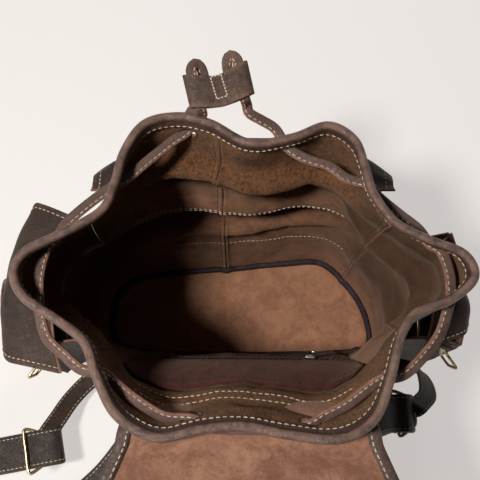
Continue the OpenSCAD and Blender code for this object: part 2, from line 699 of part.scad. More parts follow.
// The lower straps are sewn to the foot of the wall at these turns
anchor_t = [0.328, 0.672];
anchor_z = [6, 26];
function strap_root(is_right) =
    let (t = anchor_t[is_right ? 1 : 0], o = wall_out(t, 16), p = wall(t, 16, half + gap + 2 * leather + 3))
    [[p.x, p.y, 16, atan2(o.y, o.x) - 90], [p.x + 12 * o.x, p.y + 12 * o.y, 15, atan2(o.y, o.x) - 90]];

// Routes of the straps' middle lines: x, y, z and the heading of the strap's width
left_route = [[27, 116.5, 226, 0], [33, 106.5, 190, -2], [44, 94, 140, -6], [58, 92, 85, -16], [84, 106, 36, -34],
    [122, 138, 12, -52], [176, 178, 7, -58], [236, 210, 6, -66], [292, 222, 6, -84], [330, 206, 8, -130],
    [324, 188, 20, -190], [291, 182, 40, -250], [254.6, 175, 52, -258]];
right_route = [[-27, 116.5, 226, 0], [-33, 106.5, 190, 3], [-44, 94, 140, 6], [-56, 94, 84, 14], [-68, 104, 34, 24],
    [-86, 124, 10, 45], [-114, 140, 6, 75], [-142, 142, 14, 90], [-162, 138, 42, 90], [-168, 135, 72, 90]];
left_lower = concat(strap_root(false), [[184, 104, 10, -50], [196, 136, 14, -66], [208, 157, 28, -76],
    [221, 167, 41, -80]]);
right_lower = concat(strap_root(true), [[-192, 70, 14, -90], [-214, 72, 18, -60], [-220, 88, 36, -40],
    [-214, 110, 66, -20], [-199, 128, 85, 0]]);

module shoulder_strap(is_right) {
    color(grain) strap(is_right ? right_route : left_route, strap_w, strap_t, 4);
}

module lower_strap(is_right) {
    color(grain) strap(is_right ? right_lower : left_lower, lower_strap_w, 3, 5);
}

// A rounded ring of round wire, lying in its own XY plane with its wide bar along Y at x = 0
module wire_ring(wide, narrow, depth, r) {
    w = wide / 2;
    n = narrow / 2;
    line = [[0, -w * 0.8], [0, 0], [0, w * 0.8], [-depth * 0.12, w], [-depth * 0.6, (w + n) / 2],
        [-depth * 0.94, n], [-depth, 0], [-depth * 0.94, -n], [-depth * 0.6, -(w + n) / 2], [-depth * 0.12, -w]];
    turns = 30;
    tube([for (i = [0:turns - 1])
        let (p = closed_curve(line, i / turns),
            d = unit(closed_curve(line, i / turns + 0.01) - closed_curve(line, i / turns - 0.01)))
        [for (j = [0:7]) [p.x, p.y, 0] + r * cos(45 * j) * [d.y, -d.x, 0] + [0, 0, r * sin(45 * j)]]],
        loop = true);
}

ring_wire = 2;
left_ring_at = [251, 175, 53];
right_ring_at = [-172, 134, 84];
module strap_ring_left() {
    color(brass) translate(left_ring_at) rotate([0, -20, 12]) wire_ring(50, 28, 26, ring_wire);
}

module strap_ring_right() {
    color(brass) translate(right_ring_at) rotate([0, 10, 8]) wire_ring(50, 28, 22, ring_wire);
}

module strap_anchor(is_right) {
    t = anchor_t[is_right ? 1 : 0];
    color(grain) wall_patch(t - 0.018, t + 0.018, anchor_z[0], anchor_z[1], half + gap,
        half + gap + 2 * leather, 5, 3);
}

// Small rings that hang from leather tabs at the side pockets' back corners
side_ring_at = [[208.5, 94, 190], [208.5, 85, 190]];
side_ring_heading = 58;
side_tab_at = [[199.6, 81, 193], [199.4, 73.4, 193]];
side_tab_heading = 19;
module side_ring_tab(is_right) {
    color(edge_brown) mirrored(is_right) translate(side_tab_at[is_right ? 1 : 0])
        rotate([0, 0, side_tab_heading]) cube([10, leather, 12]);
}

module side_ring(is_right) {
    color(brass) mirrored(is_right) translate(side_ring_at[is_right ? 1 : 0])
        rotate([0, 0, side_ring_heading - 90]) rotate([0, 90, 0]) wire_ring(24, 12, -18, 1.5);
}

base_panel();
base_piping();
front_panel_left();
front_panel_right();
back_panel();
gusset_left();
gusset_right();
rim_binding();
drawcord();
cord_toggle();
front_pocket_face();
front_pocket_gusset();
front_pocket_flap();
front_pocket_strap();
front_pocket_stud();
side_pocket_face(false);  // side_pocket_face_left
side_pocket_face(true);  // side_pocket_face_right
side_pocket_gusset(false);  // side_pocket_gusset_left
side_pocket_gusset(true);  // side_pocket_gusset_right
side_pocket_flap(false);  // side_pocket_flap_left
side_pocket_flap(true);  // side_pocket_flap_right
side_pocket_strap(false);  // side_pocket_strap_left
side_pocket_strap(true);  // side_pocket_strap_right
side_pocket_keeper(false);  // side_pocket_keeper_left
side_pocket_keeper(true);  // side_pocket_keeper_right
side_pocket_stud(false);  // side_pocket_stud_left
side_pocket_stud(true);  // side_pocket_stud_right
zip_pocket_panel();
zip_tapes();
zip_coil();
zip_slider();
zip_pull();
flap_strip();
flap_rear();
flap_middle();
flap_front();
flap_binding_rear();
flap_binding_middle();
flap_binding_front();
flap_strap();
flap_stud();
strap_yoke();
handle_tabs();
top_handle();
shoulder_strap(false);  // shoulder_strap_left
shoulder_strap(true);  // shoulder_strap_right
lower_strap(false);  // lower_strap_left
lower_strap(true);  // lower_strap_right
strap_ring_left();
strap_ring_right();
strap_anchor(false);  // strap_anchor_left
strap_anchor(true);  // strap_anchor_right
side_ring_tab(false);  // side_ring_tab_left
side_ring_tab(true);  // side_ring_tab_right
side_ring(false);  // side_ring_left
side_ring(true);  // side_ring_right
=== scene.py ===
import math

import bpy
import numpy as np
from mathutils import Matrix, Vector


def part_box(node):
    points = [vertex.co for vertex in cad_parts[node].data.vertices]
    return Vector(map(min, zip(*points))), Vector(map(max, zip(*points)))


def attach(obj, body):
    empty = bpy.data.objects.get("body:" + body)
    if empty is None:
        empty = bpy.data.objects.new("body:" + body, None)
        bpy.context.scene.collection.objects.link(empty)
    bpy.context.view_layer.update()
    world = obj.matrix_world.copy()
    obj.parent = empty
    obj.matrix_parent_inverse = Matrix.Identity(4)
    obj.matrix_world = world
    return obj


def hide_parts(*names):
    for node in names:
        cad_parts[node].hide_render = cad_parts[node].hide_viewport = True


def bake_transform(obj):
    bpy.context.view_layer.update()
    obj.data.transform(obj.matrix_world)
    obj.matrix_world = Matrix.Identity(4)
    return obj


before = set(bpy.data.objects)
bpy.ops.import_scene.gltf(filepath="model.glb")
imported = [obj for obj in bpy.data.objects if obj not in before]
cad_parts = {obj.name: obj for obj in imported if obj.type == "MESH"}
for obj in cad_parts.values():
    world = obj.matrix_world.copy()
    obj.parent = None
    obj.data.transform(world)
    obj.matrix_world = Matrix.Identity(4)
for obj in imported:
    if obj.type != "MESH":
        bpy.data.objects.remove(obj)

# Leather drawstring backpack, standing open. Lengths are in millimetres here and turn into metres
# when a mesh is made. The bag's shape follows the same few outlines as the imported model.
MM = 0.001
UP = np.array([0, 0, 1.0])
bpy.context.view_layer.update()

# ---------------------------------------------------------------- camera


CAMERA_AT = (0.003, 0.181, 0.911)
CAMERA_LEAN = 17.0
CAMERA_LENS = 53.25


def make_camera():
    """The photograph's viewing angle: high above the back, looking down and forwards."""
    data = bpy.data.cameras.new("camera")
    data.sensor_width = 36.0
    data.lens = CAMERA_LENS
    camera = bpy.data.objects.new("camera", data)
    bpy.context.scene.collection.objects.link(camera)
    lean = math.radians(CAMERA_LEAN)
    right = Vector((-1, 0, 0))
    up = Vector((0, -math.cos(lean), math.sin(lean)))
    back = right.cross(up)
    turn = Matrix((right, up, back)).transposed().to_4x4()
    camera.matrix_world = Matrix.Translation(CAMERA_AT) @ turn
    bpy.context.scene.camera = camera


make_camera()

# ---------------------------------------------------------------- curves and frames


def between(a, b, c, d, f):
    """A smooth step from b to c, which a and d lead into and out of."""
    return 0.5 * (2 * b + (c - a) * f + (2 * a - 5 * b + 4 * c - d) * f**2 + (3 * b - a - 3 * c + d) * f**3)


def closed_curve(points, t):
    """Points of a smooth closed curve at t turns."""
    p = np.array(points, float)
    s = np.asarray(t, float) * len(p)
    i = np.floor(s).astype(int)
    return between(*(p[(i + k) % len(p)] for k in (-1, 0, 1, 2)), (s - i)[..., None])


def open_curve(points, s):
    """Points of a smooth open curve at s from 0 to len(points) - 1."""
    p = np.array(points, float)
    n = len(p)
    s = np.clip(np.asarray(s, float), 0, n - 1)
    i = np.minimum(np.floor(s).astype(int), n - 2)
    return between(*(p[np.clip(i + k, 0, n - 1)] for k in (-1, 0, 1, 2)), (s - i)[..., None])


def unit(v):
    v = np.asarray(v, float)
    return v / np.maximum(np.linalg.norm(v, axis=-1, keepdims=True), 1e-9)


def even(points, step, closed=False):
    """The points of a line again, spaced evenly about step apart."""
    p = np.asarray(points, float)
    if closed:
        p = np.vstack([p, p[:1]])
    length = np.concatenate([[0], np.cumsum(np.linalg.norm(np.diff(p[:, :3], axis=0), axis=1))])
    n = max(2, int(round(length[-1] / step)))
    at = np.linspace(0, length[-1], n + 1)
    if closed:
        at = at[:-1]
    return np.stack([np.interp(at, length, p[:, k]) for k in range(p.shape[1])], axis=1)


def smooth_line(points, step, closed=False):
    """A smooth line through a few points, with points about step apart."""
    n = len(points)
    if closed:
        fine = closed_curve(points, np.linspace(0, 1, n * 16, endpoint=False))
    else:
        fine = open_curve(points, np.linspace(0, n - 1, (n - 1) * 16 + 1))
    return even(fine, step, closed)


def circle(wide, tall=None, count=12):
    """A round or oval outline of count points."""
    a = np.linspace(0, 2 * np.pi, count, endpoint=False)
    return np.stack([wide * np.cos(a), (tall or wide) * np.sin(a)], axis=1)


def tangents(line, closed=False):
    if closed:
        return unit(np.roll(line, -1, 0) - np.roll(line, 1, 0))
    return unit(np.gradient(line, axis=0))


def bump(x, middle, spread):
    return np.exp(-(((x - middle) / spread) ** 2))


def ripple(x, y, z, scale, seed=0.0):
    """Gentle unevenness from -1 to 1, with waves about scale long."""
    k = 2 * math.pi / scale
    a = np.sin(k * (x + 0.37 * y + 0.21 * z) + 1.3 * seed)
    b = np.sin(k * (0.81 * y - 0.43 * x + 0.3 * z) * 1.31 + 2.1 * seed + 0.7)
    c = np.sin(k * (0.74 * z + 0.29 * x - 0.5 * y) * 0.83 + 0.9 * seed + 2.2)
    return (a * b + b * c + c * a) / 3 * 1.4


# ---------------------------------------------------------------- the bag's walls

RIM = 360.0
BELLY = 8.0
LEATHER = 2.4
SURFACE = LEATHER / 2
BASE_OUTLINE = [(0, -60), (58, -56), (112, -50), (156, -34), (170, 8), (160, 46), (112, 58), (56, 60),
                (0, 60), (-56, 60), (-112, 59), (-160, 50), (-162, 10), (-140, -34), (-104, -66), (-54, -66)]
RIM_OUTLINE = [(-5, -73), (28, -91), (55, -98), (84, -91), (101, -65), (108, -36), (118, -12), (150, 8),
               (176, 22), (184, 40), (174, 60), (145, 79), (124, 96), (113, 122), (96, 151), (66, 167),
               (32, 161), (0, 159), (-34, 165), (-72, 168), (-98, 154), (-112, 124), (-121, 93),
               (-135, 73), (-163, 62), (-184, 44), (-178, 24), (-150, 12), (-124, -2), (-108, -26),
               (-102, -50), (-94, -76), (-72, -90), (-42, -79)]
SLITS = [0.052, 0.141, 0.212, 0.303, 0.385, 0.462, 0.544, 0.612, 0.712, 0.788, 0.871, 0.971]
SLIT_Z = 339.0
# The wall's panels: name and the turns between which each lies
PANELS = {"front_panel_left": (0.022, 0.185), "gusset_left": (0.185, 0.335), "back_panel": (0.335, 0.665),
          "gusset_right": (0.665, 0.825), "front_panel_right": (0.825, 1.022)}
SEAMS = [edge[0] for edge in PANELS.values()]


def wall_line(t, z):
    k = (np.asarray(z, float) / RIM)[..., None] ** 2.2
    return closed_curve(BASE_OUTLINE, t) * (1 - k) + closed_curve(RIM_OUTLINE, t) * k


def wall_out(t, z):
    d = wall_line(t + 0.004, z) - wall_line(t - 0.004, z)
    return unit(np.stack([d[..., 1], -d[..., 0]], axis=-1))


def from_ends(t):
    """How many turns t is from the middle of the front, and from the middle of the back."""
    return (t + 0.5) % 1 - 0.5, t % 1 - 0.5


def folds(t, z):
    """How far the soft wall sags outwards (or inwards, below 0) from its even shape."""
    from_front, from_back = from_ends(t)
    front = np.exp(-((from_front / 0.15) ** 4))
    back = np.exp(-((from_back / 0.17) ** 4))
    side = 1 - np.maximum(front, back)
    tilt = 60 * from_front
    slant = 90 * (from_front - 0.25)
    front_fold = (-19 * bump(z, 290 + tilt, 11) - 3 * bump(z, 250 + tilt / 2, 16) - 9 * bump(z, 212, 20)
                  + 15 * bump(z, 170 - 1.5 * tilt, 14) - 6 * bump(z, 140 - 1.5 * tilt, 12))
    back_fold = 3 * bump(z, 312, 14) - 3 * bump(z, 296, 9) + 4 * bump(z, 60, 30)
    side_fold = (-18 * bump(z, 286 + slant, 13) - 2 * bump(z, 256, 20)
                 + 5 * bump(z, 150, 30) - 4 * bump(z, 96, 22))
    fade = np.clip(z / 30, 0, 1) * np.clip((RIM - z) / 34, 0, 1)
    p = wall_line(t, z)
    soft = 1.6 * ripple(p[..., 0], p[..., 1], z, 90, 1) + 0.7 * ripple(p[..., 0], p[..., 1], z, 34, 2)
    return fade * (front * front_fold + back * back_fold + side * side_fold + soft)


def seam_dip(t):
    """The wall is drawn inwards along the seams between its panels."""
    gap = np.abs((np.asarray(t)[..., None] - SEAMS + 0.5) % 1 - 0.5).min(axis=-1)
    return -2.2 * np.exp(-((gap / 0.0035) ** 2))


def wall(t, z, out=0.0, plain=False):
    t, z = np.broadcast_arrays(np.asarray(t, float), np.asarray(z, float))
    away = out + BELLY * np.sin(np.pi * z / RIM)
    if not plain:
        away = away + folds(t, z) + seam_dip(t)
    p = wall_line(t, z) + wall_out(t, z) * away[..., None]
    return np.concatenate([p, z[..., None]], axis=-1)


def wall_normal(t, z):
    """The folded wall's own outward direction."""
    a = wall(t + 0.002, z) - wall(t - 0.002, z)
    b = wall(t, z + 2.0) - wall(t, z - 2.0)
    return unit(np.cross(a, b))


# ---------------------------------------------------------------- mesh makers

MATERIALS = {}


def new_object(name, vertices, faces, materials):
    """A mesh object from points in millimetres, which remembers where its points rest."""
    mesh = bpy.data.meshes.new(name)
    vertices = np.asarray(vertices, float).reshape(-1, 3)
    mesh.from_pydata((vertices * MM).tolist(), [], [list(map(int, f)) for f in faces])
    for material in materials:
        mesh.materials.append(MATERIALS[material])
    rest = mesh.attributes.new("rest", "FLOAT_VECTOR", "POINT")
    rest.data.foreach_set("vector", vertices.astype(np.float32).ravel())
    mesh.shade_smooth()
    mesh.validate()
    obj = bpy.data.objects.new(name, mesh)
    bpy.context.scene.collection.objects.link(obj)
    return obj


def edge_wear(obj, profile, width, rings, band=4.0, most=0.5):
    """Paints wear along both edges of a swept strap."""
    paint(obj, np.tile(np.clip((np.abs(profile[:, 0]) - width / 2 + band) / band, 0, 1) * most, rings))


def paint(obj, values, name="wear"):
    """A number per vertex that the materials read, such as where the leather is worn."""
    layer = obj.data.attributes.new(name, "FLOAT", "POINT")
    layer.data.foreach_set("value", np.asarray(values, np.float32).ravel())


def grid_faces(rows, cols, wrap_cols=False, wrap_rows=False, skip=None):
    faces = []
    for r in range(rows if wrap_rows else rows - 1):
        for c in range(cols if wrap_cols else cols - 1):
            if skip is not None and skip[r, c]:
                continue
            r2, c2 = (r + 1) % rows, (c + 1) % cols
            faces.append((r * cols + c, r * cols + c2, r2 * cols + c2, r2 * cols + c))
    return faces


def thicken(obj, thickness, offset=0.0, inner=0, rim=0):
    """Gives a sheet its thickness. inner and rim are how many materials further on those faces take."""
    solid = obj.modifiers.new("thickness", "SOLIDIFY")
    solid.thickness = thickness * MM
    solid.offset = offset
    solid.use_even_offset = True
    solid.material_offset = inner
    solid.material_offset_rim = rim
    return obj


def round_edges(obj):
    sub = obj.modifiers.new("round", "SUBSURF")
    sub.levels = 1
    sub.render_levels = 1
    return obj


def grid_normal(points):
    """The outward direction at each point of a grid."""
    return unit(np.cross(np.gradient(points, axis=1), np.gradient(points, axis=0)))


LEATHER_FACES = ["outer", "suede", "raw_edge"]


def sheet_piece(name, points, materials, thickness, offset=0.0, inner=1, rim=2, skip=None, wear=None):
    """A sheet of leather from a grid of points (rows, columns, 3), seen from its outer side."""
    rows, cols = points.shape[:2]
    obj = new_object(name, points, grid_faces(rows, cols, skip=skip), materials)
    if wear is not None:
        paint(obj, wear)
    return thicken(obj, thickness, offset, inner, rim)


def sweep(name, line, side, up, profile, materials, closed=False, face_material=None):
    """A profile (across, up) swept along a line with given side and up directions."""
    line, side, up = (np.asarray(a, float) for a in (line, side, up))
    profile = np.asarray(profile, float)
    if profile.ndim == 2:
        profile = np.repeat(profile[None], len(line), axis=0)
    points = line[:, None] + side[:, None] * profile[..., :1] + up[:, None] * profile[..., 1:]
    rows, cols = points.shape[:2]
    faces = grid_faces(rows, cols, wrap_cols=True, wrap_rows=closed)
    if not closed:
        faces.append(tuple(range(cols))[::-1])
        faces.append(tuple((rows - 1) * cols + c for c in range(cols)))
    obj = new_object(name, points, faces, materials)
    if face_material is not None:
        count = (rows - 1) * cols
        index = np.zeros(len(obj.data.polygons), np.int32)
        index[:count] = np.tile(face_material, rows - 1)
        obj.data.polygons.foreach_set("material_index", index)
    return obj


def flat_frames(line, across):
    """Side and up directions for a flat strap, from a rough direction of its width."""
    along = tangents(line)
    across = np.broadcast_to(np.asarray(across, float), line.shape)
    side = unit(across - along * np.sum(across * along, axis=1, keepdims=True))
    return side, np.cross(along, side)


def strap_profile(width, thickness, corner=None, dome=0.0, points=7):
    """A flat strap's cross-section, rounded at its edges and domed on top."""
    corner = corner or thickness * 0.42
    w, t = width / 2 - corner, thickness / 2 - corner
    ring = []
    for cx, cy, start in ((w, t, 0), (-w, t, 90), (-w, -t, 180), (w, -t, 270)):
        for a in np.linspace(start, start + 90, 4):
            ring.append((cx + corner * math.cos(math.radians(a)), cy + corner * math.sin(math.radians(a))))
        if start == 0:
            ring += [(x, thickness / 2 + dome * (1 - (x / w) ** 2)) for x in np.linspace(w, -w, points)[1:-1]]
        if start == 180:
            ring += [(x, -thickness / 2) for x in np.linspace(-w, w, points)[1:-1]]
    return np.array(ring)


def join_sets(sets):
    """Puts several (vertices, faces) sets into one."""
    vertices, faces, start = [], [], 0
    for v, f in sets:
        vertices.append(np.asarray(v, float).reshape(-1, 3))
        faces += [tuple(start + i for i in face) for face in f]
        start += len(vertices[-1])
    return np.concatenate(vertices), faces


STITCH_RING = 6
STITCH_LIFT = 0.15


def stitch_shapes(line, normal, length=3.6, gap=1.7, radius=0.55, closed=False):
    """Small rounded stitches along a line that lies on a surface with these normals."""
    both = np.hstack([np.asarray(line, float), np.broadcast_to(np.asarray(normal, float), np.shape(line))])
    points = even(both, length + gap, closed)
    points, up = points[:, :3], unit(points[:, 3:])
    nxt = np.roll(points, -1, 0) if closed else points[1:]
    first, up = (points, up) if closed else (points[:-1], up[:-1])
    along = unit(nxt - first)
    side = unit(np.cross(up, along))
    up = np.cross(along, side)
    middle = (first + nxt) / 2 + up * STITCH_LIFT
    steps = np.array([-0.5, -0.42, -0.2, 0.2, 0.42, 0.5]) * length
    widths = np.array([0.25, 0.8, 1.0, 1.0, 0.8, 0.25]) * radius
    sink = np.array([-0.55, -0.2, 0.0, 0.0, -0.2, -0.55]) * radius
    shape = np.array([(s, w * x, d + w * y) for s, w, d in zip(steps, widths, sink)
                      for x, y in circle(1.0, 0.8, STITCH_RING)])
    vertices = (middle[:, None] + along[:, None] * shape[None, :, :1] + side[:, None] * shape[None, :, 1:2]
                + up[:, None] * shape[None, :, 2:])
    one = grid_faces(len(steps), STITCH_RING, wrap_cols=True)
    one += [tuple(range(STITCH_RING))[::-1], tuple(range((len(steps) - 1) * STITCH_RING, len(shape)))]
    faces = [tuple(k * len(shape) + i for i in face) for k in range(len(middle)) for face in one]
    return vertices.reshape(-1, 3), faces


def stitches(name, rows, body, radius=0.55, material="thread"):
    """One piece of thread made of several rows. A row is (line, normals) or (line, normals, closed)."""
    sets = [stitch_shapes(row[0], row[1], radius=radius, closed=len(row) > 2 and row[2]) for row in rows]
    return finish_piece(new_object(name, *join_sets(sets), [material]), body, "lace_leather")


def finish_piece(obj, body, slot, *nodes):
    """Says what a piece rides on and hides the CAD nodes that it stands for; slot is not used."""
    if body:
        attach(obj, body)
    if nodes:
        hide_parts(*nodes)
    return obj


# ---------------------------------------------------------------- materials


class Nodes:
    """A short way to write a material's nodes."""

    def __init__(self, name):
        self.material = bpy.data.materials.new(name)
        self.material.use_nodes = True
        self.tree = self.material.node_tree
        self.tree.nodes.clear()
        self.shader = self.add("ShaderNodeBsdfPrincipled")
        self.link(self.shader.outputs[0], self.add("ShaderNodeOutputMaterial").inputs[0])
        self.coords = self.add("ShaderNodeAttribute", attribute_name="rest").outputs["Vector"]
        MATERIALS[name] = self.material

    def add(self, kind, **settings):
        node = self.tree.nodes.new(kind)
        for key, value in settings.items():
            setattr(node, key, value)
        return node

    def link(self, a, b):
        self.tree.links.new(a, b)

    def attribute(self, name):
        return self.add("ShaderNodeAttribute", attribute_name=name).outputs["Fac"]

    def feed(self, node, **values):
        """Gives a node's inputs numbers, or links them to sockets."""
        for key, value in values.items():
            socket = node.inputs[key.replace("_", " ")]
            if hasattr(value, "is_linked"):
                self.link(value, socket)
            else:
                socket.default_value = value
        return node

    def noise(self, size, detail=4.0, rough=0.55, distort=0.0):
        """Noise whose features are about size millimetres across."""
        node = self.feed(self.add("ShaderNodeTexNoise"), Vector=self.coords, Scale=1.0 / size, Detail=detail,
                         Roughness=rough, Distortion=distort)
        return node.outputs["Fac"]

    def cells(self, size, feature="DISTANCE_TO_EDGE"):
        node = self.add("ShaderNodeTexVoronoi", feature=feature)
        return self.feed(node, Vector=self.coords, Scale=1.0 / size).outputs["Distance"]

    def ramp(self, value, low, high):
        """A smooth step: 0 below low, 1 above high."""
        node = self.add("ShaderNodeMapRange", interpolation_type="SMOOTHSTEP")
        return self.feed(node, Value=value, From_Min=low, From_Max=high).outputs["Result"]

    def scale_to(self, value, low, high):
        node = self.add("ShaderNodeMapRange")
        return self.feed(node, Value=value, To_Min=low, To_Max=high).outputs["Result"]

    def math(self, kind, a, b):
        node = self.add("ShaderNodeMath", operation=kind)
        for socket, value in zip(node.inputs, (a, b)):
            if isinstance(value, (int, float)):
                socket.default_value = value
            else:
                self.link(value, socket)
        return node.outputs[0]

    def mix(self, fac, a, b):
        """Colours or a colour and a colour socket, mixed by a factor socket or number."""
        node = self.add("ShaderNodeMix", data_type="RGBA")
        for socket, value in ((node.inputs[0], fac), (node.inputs[6], a), (node.inputs[7], b)):
            if isinstance(value, (int, float)):
                socket.default_value = value
            elif isinstance(value, tuple):
                socket.default_value = (*value, 1.0)
            else:
                self.link(value, socket)
        return node.outputs[2]

    def bumps(self, *layers):
        """Bump layers of (height socket, depth in millimetres), stacked."""
        normal = None
        for height, depth in layers:
            node = self.feed(self.add("ShaderNodeBump"), Strength=1.0, Distance=depth * MM, Height=height)
            if normal is not None:
                self.link(normal, node.inputs["Normal"])
            normal = node.outputs[0]
        self.link(normal, self.shader.inputs["Normal"])

    def set(self, **values):
        self.feed(self.shader, **values)


def waxed_leather(name, dark, middle, light, rough=(0.42, 0.68), scuff=0.5, grain=1.3, spec=0.42):
    """Oiled pull-up leather: cloudy tone, fine pores, creases, and pale scuffs where it's worn."""
    n = Nodes(name)
    cloud = n.noise(55, 3.0, 0.6, 0.6)
    mottle = n.noise(9, 5.0, 0.65, 0.4)
    streak = n.noise(26, 6.0, 0.7, 1.6)
    fine = n.noise(1.6, 3.0, 0.6)
    colour = n.mix(n.ramp(cloud, 0.34, 0.68), dark, middle)
    colour = n.mix(n.math("MULTIPLY", n.ramp(mottle, 0.42, 0.72), 0.45), colour, middle)
    scuffs = n.math("MULTIPLY", n.ramp(streak, 0.53, 0.72), n.ramp(fine, 0.35, 0.7))
    worn = n.math("MULTIPLY", n.ramp(n.attribute("wear"), 0.15, 1.0), n.ramp(mottle, 0.3, 0.65))
    amount = n.math("MAXIMUM", n.math("MULTIPLY", scuffs, scuff), worn)
    colour = n.mix(amount, colour, light)
    pores = n.ramp(n.cells(grain), 0.0, 0.22)
    creases = n.ramp(n.noise(7, 5.0, 0.7, 2.2), 0.4, 0.62)
    dullness = n.math("ADD", mottle, n.math("MULTIPLY", amount, 0.4))
    n.set(Base_Color=colour, Roughness=n.scale_to(dullness, *rough))
    n.set(Specular_IOR_Level=spec)
    n.bumps((creases, 0.28), (pores, 0.09), (fine, 0.06))


# the colour of the painted shade in the walls' fold recesses and on their shadowed sides
PAINTED_SHADE_DARK = (0.016, 0.008, 0.005)


def suede(name, dark, light, nap=0.5, sheen=0.25, patch=24.0, rough_dark=None, rough_light=None):
    """The flesh side of leather: a short uneven nap that catches light in patches. It turns to a
    coarse nap of the rough colours where the surface is painted with nap, and to a near-black
    painted shade where the surface is painted with shade."""
    n = Nodes(name)
    cloud = n.noise(patch, 4.0, 0.62, 0.8)
    brushed = n.noise(5.5, 5.0, 0.7, 0.5)
    fibre = n.noise(1.1, 4.0, 0.75, 0.3)
    fac = n.math("ADD", n.math("MULTIPLY", cloud, 0.5), n.math("MULTIPLY", brushed, 0.3))
    fac = n.math("ADD", fac, n.math("MULTIPLY", fibre, 0.25))
    colour = n.mix(n.ramp(fac, 0.4, 0.66), dark, light)
    if rough_dark:
        coarse = n.noise(2.6, 5.0, 0.75, 0.8)
        rough = n.mix(n.ramp(n.math("ADD", n.math("MULTIPLY", coarse, 0.7), n.math("MULTIPLY", cloud, 0.3)),
                             0.38, 0.62), rough_dark, rough_light)
        colour = n.mix(n.attribute("nap"), colour, rough)
        # painted shade: the suede turns near black where the shade attribute marks fold recesses and shadowed
        # sides
        colour = n.mix(n.attribute("shade"), colour, PAINTED_SHADE_DARK)
    n.set(Base_Color=colour, Roughness=0.93, Specular_IOR_Level=0.15, Sheen_Weight=sheen,
          Sheen_Roughness=0.55, Sheen_Tint=(0.9, 0.62, 0.45, 1))
    layers = [(brushed, nap * 0.8), (fibre, nap)]
    if rough_dark:
        layers.append((n.math("MULTIPLY", coarse, n.attribute("nap")), 2.2))
    n.bumps(*layers)


def metal(name, colour, tarnish, rough):
    n = Nodes(name)
    cloud = n.noise(5, 4.0, 0.6)
    fine = n.noise(0.7, 2.0, 0.5)
    n.set(Base_Color=n.mix(n.ramp(cloud, 0.45, 0.75), colour, tarnish), Metallic=1.0,
          Roughness=n.scale_to(n.math("ADD", cloud, n.math("MULTIPLY", fine, 0.3)), *rough))
    n.bumps((cloud, 0.05), (fine, 0.02))


def thread(name, dark, light):
    n = Nodes(name)
    twist = n.noise(0.8, 2.0, 0.5)
    cloud = n.noise(30, 2.0, 0.5)
    lit = n.math("MULTIPLY", n.ramp(twist, 0.3, 0.7), n.ramp(cloud, 0.2, 0.6))
    n.set(Base_Color=n.mix(lit, dark, light), Roughness=0.75)
    n.set(Specular_IOR_Level=0.25)
    n.bumps((twist, 0.12))


def woven(name, dark, light, size=0.9):
    n = Nodes(name)
    threads = n.cells(size, "F1")
    cloud = n.noise(12, 3.0, 0.6)
    lit = n.math("MULTIPLY", n.ramp(threads, 0.1, 0.6), n.ramp(cloud, 0.3, 0.7))
    n.set(Base_Color=n.mix(lit, dark, light), Roughness=0.8)
    n.set(Specular_IOR_Level=0.25)
    n.bumps((threads, 0.15), (cloud, 0.3))


def make_materials():
    waxed_leather("outer", (0.022, 0.0125, 0.009), (0.05, 0.03, 0.0215), (0.15, 0.09, 0.062),
                  scuff=0.4, spec=0.3)
    waxed_leather("binding", (0.036, 0.0175, 0.0125), (0.078, 0.04, 0.029), (0.19, 0.108, 0.08),
                  (0.32, 0.5), 0.22, spec=0.5)
    waxed_leather("lace", (0.05, 0.025, 0.018), (0.1, 0.054, 0.04), (0.22, 0.13, 0.098), (0.38, 0.6), 0.3)
    waxed_leather("strap", (0.014, 0.0085, 0.006), (0.034, 0.02, 0.0145), (0.11, 0.066, 0.046),
                  (0.38, 0.62), 0.3)
    suede("suede", (0.2, 0.093, 0.053), (0.31, 0.152, 0.09), 0.4, 0.15,
          rough_dark=(0.05, 0.021, 0.009), rough_light=(0.19, 0.085, 0.036))
    # the walls' suede is a darker copy of the base suede, painted shade for the dimmer light on the walls; it
    # turns to a coarse nap where it is painted so
    suede("suede_wall_shaded", (0.115, 0.052, 0.029), (0.215, 0.104, 0.06), 0.4, 0.12,
          rough_dark=(0.045, 0.019, 0.008), rough_light=(0.17, 0.076, 0.033))
    suede("suede_flap", (0.125, 0.056, 0.034), (0.255, 0.13, 0.084), 0.4, 0.2, 34.0)
    suede("burgundy", (0.02, 0.0045, 0.0045), (0.062, 0.014, 0.0125), 0.3, 0.12)
    suede("raw_edge", (0.12, 0.058, 0.04), (0.22, 0.115, 0.08), 0.25, 0.1, 8.0)
    suede("dark_edge", (0.05, 0.025, 0.018), (0.12, 0.062, 0.045), 0.25, 0.1, 8.0)
    metal("brass", (0.62, 0.49, 0.27), (0.34, 0.25, 0.12), (0.2, 0.42))
    metal("steel", (0.62, 0.6, 0.56), (0.36, 0.34, 0.31), (0.18, 0.36))
    metal("gunmetal", (0.06, 0.055, 0.055), (0.03, 0.026, 0.024), (0.28, 0.5))
    thread("thread", (0.27, 0.195, 0.13), (0.64, 0.54, 0.43))
    thread("dark_thread", (0.02, 0.012, 0.012), (0.05, 0.03, 0.03))
    woven("piping", (0.012, 0.007, 0.009), (0.045, 0.028, 0.033))
    woven("tape", (0.01, 0.007, 0.008), (0.035, 0.024, 0.026), 0.7)


make_materials()

# ---------------------------------------------------------------- bag walls, base and rim


SLIT_HALF_WIDE, SLIT_HALF_TALL = 7.5, 4.6
WALL_LOW, WALL_HIGH = 3.4, 357.0
COLLAR_LOW = 278.0


def wall_rows():
    """Heights of the wall's rows of points, close together around the slits."""
    fine_low, fine_high = SLIT_Z - 15, SLIT_Z + 11
    return np.concatenate([np.arange(WALL_LOW, fine_low, 5.0), np.arange(fine_low, fine_high, 2.0),
                           np.arange(fine_high, WALL_HIGH, 3.0), [WALL_HIGH]])


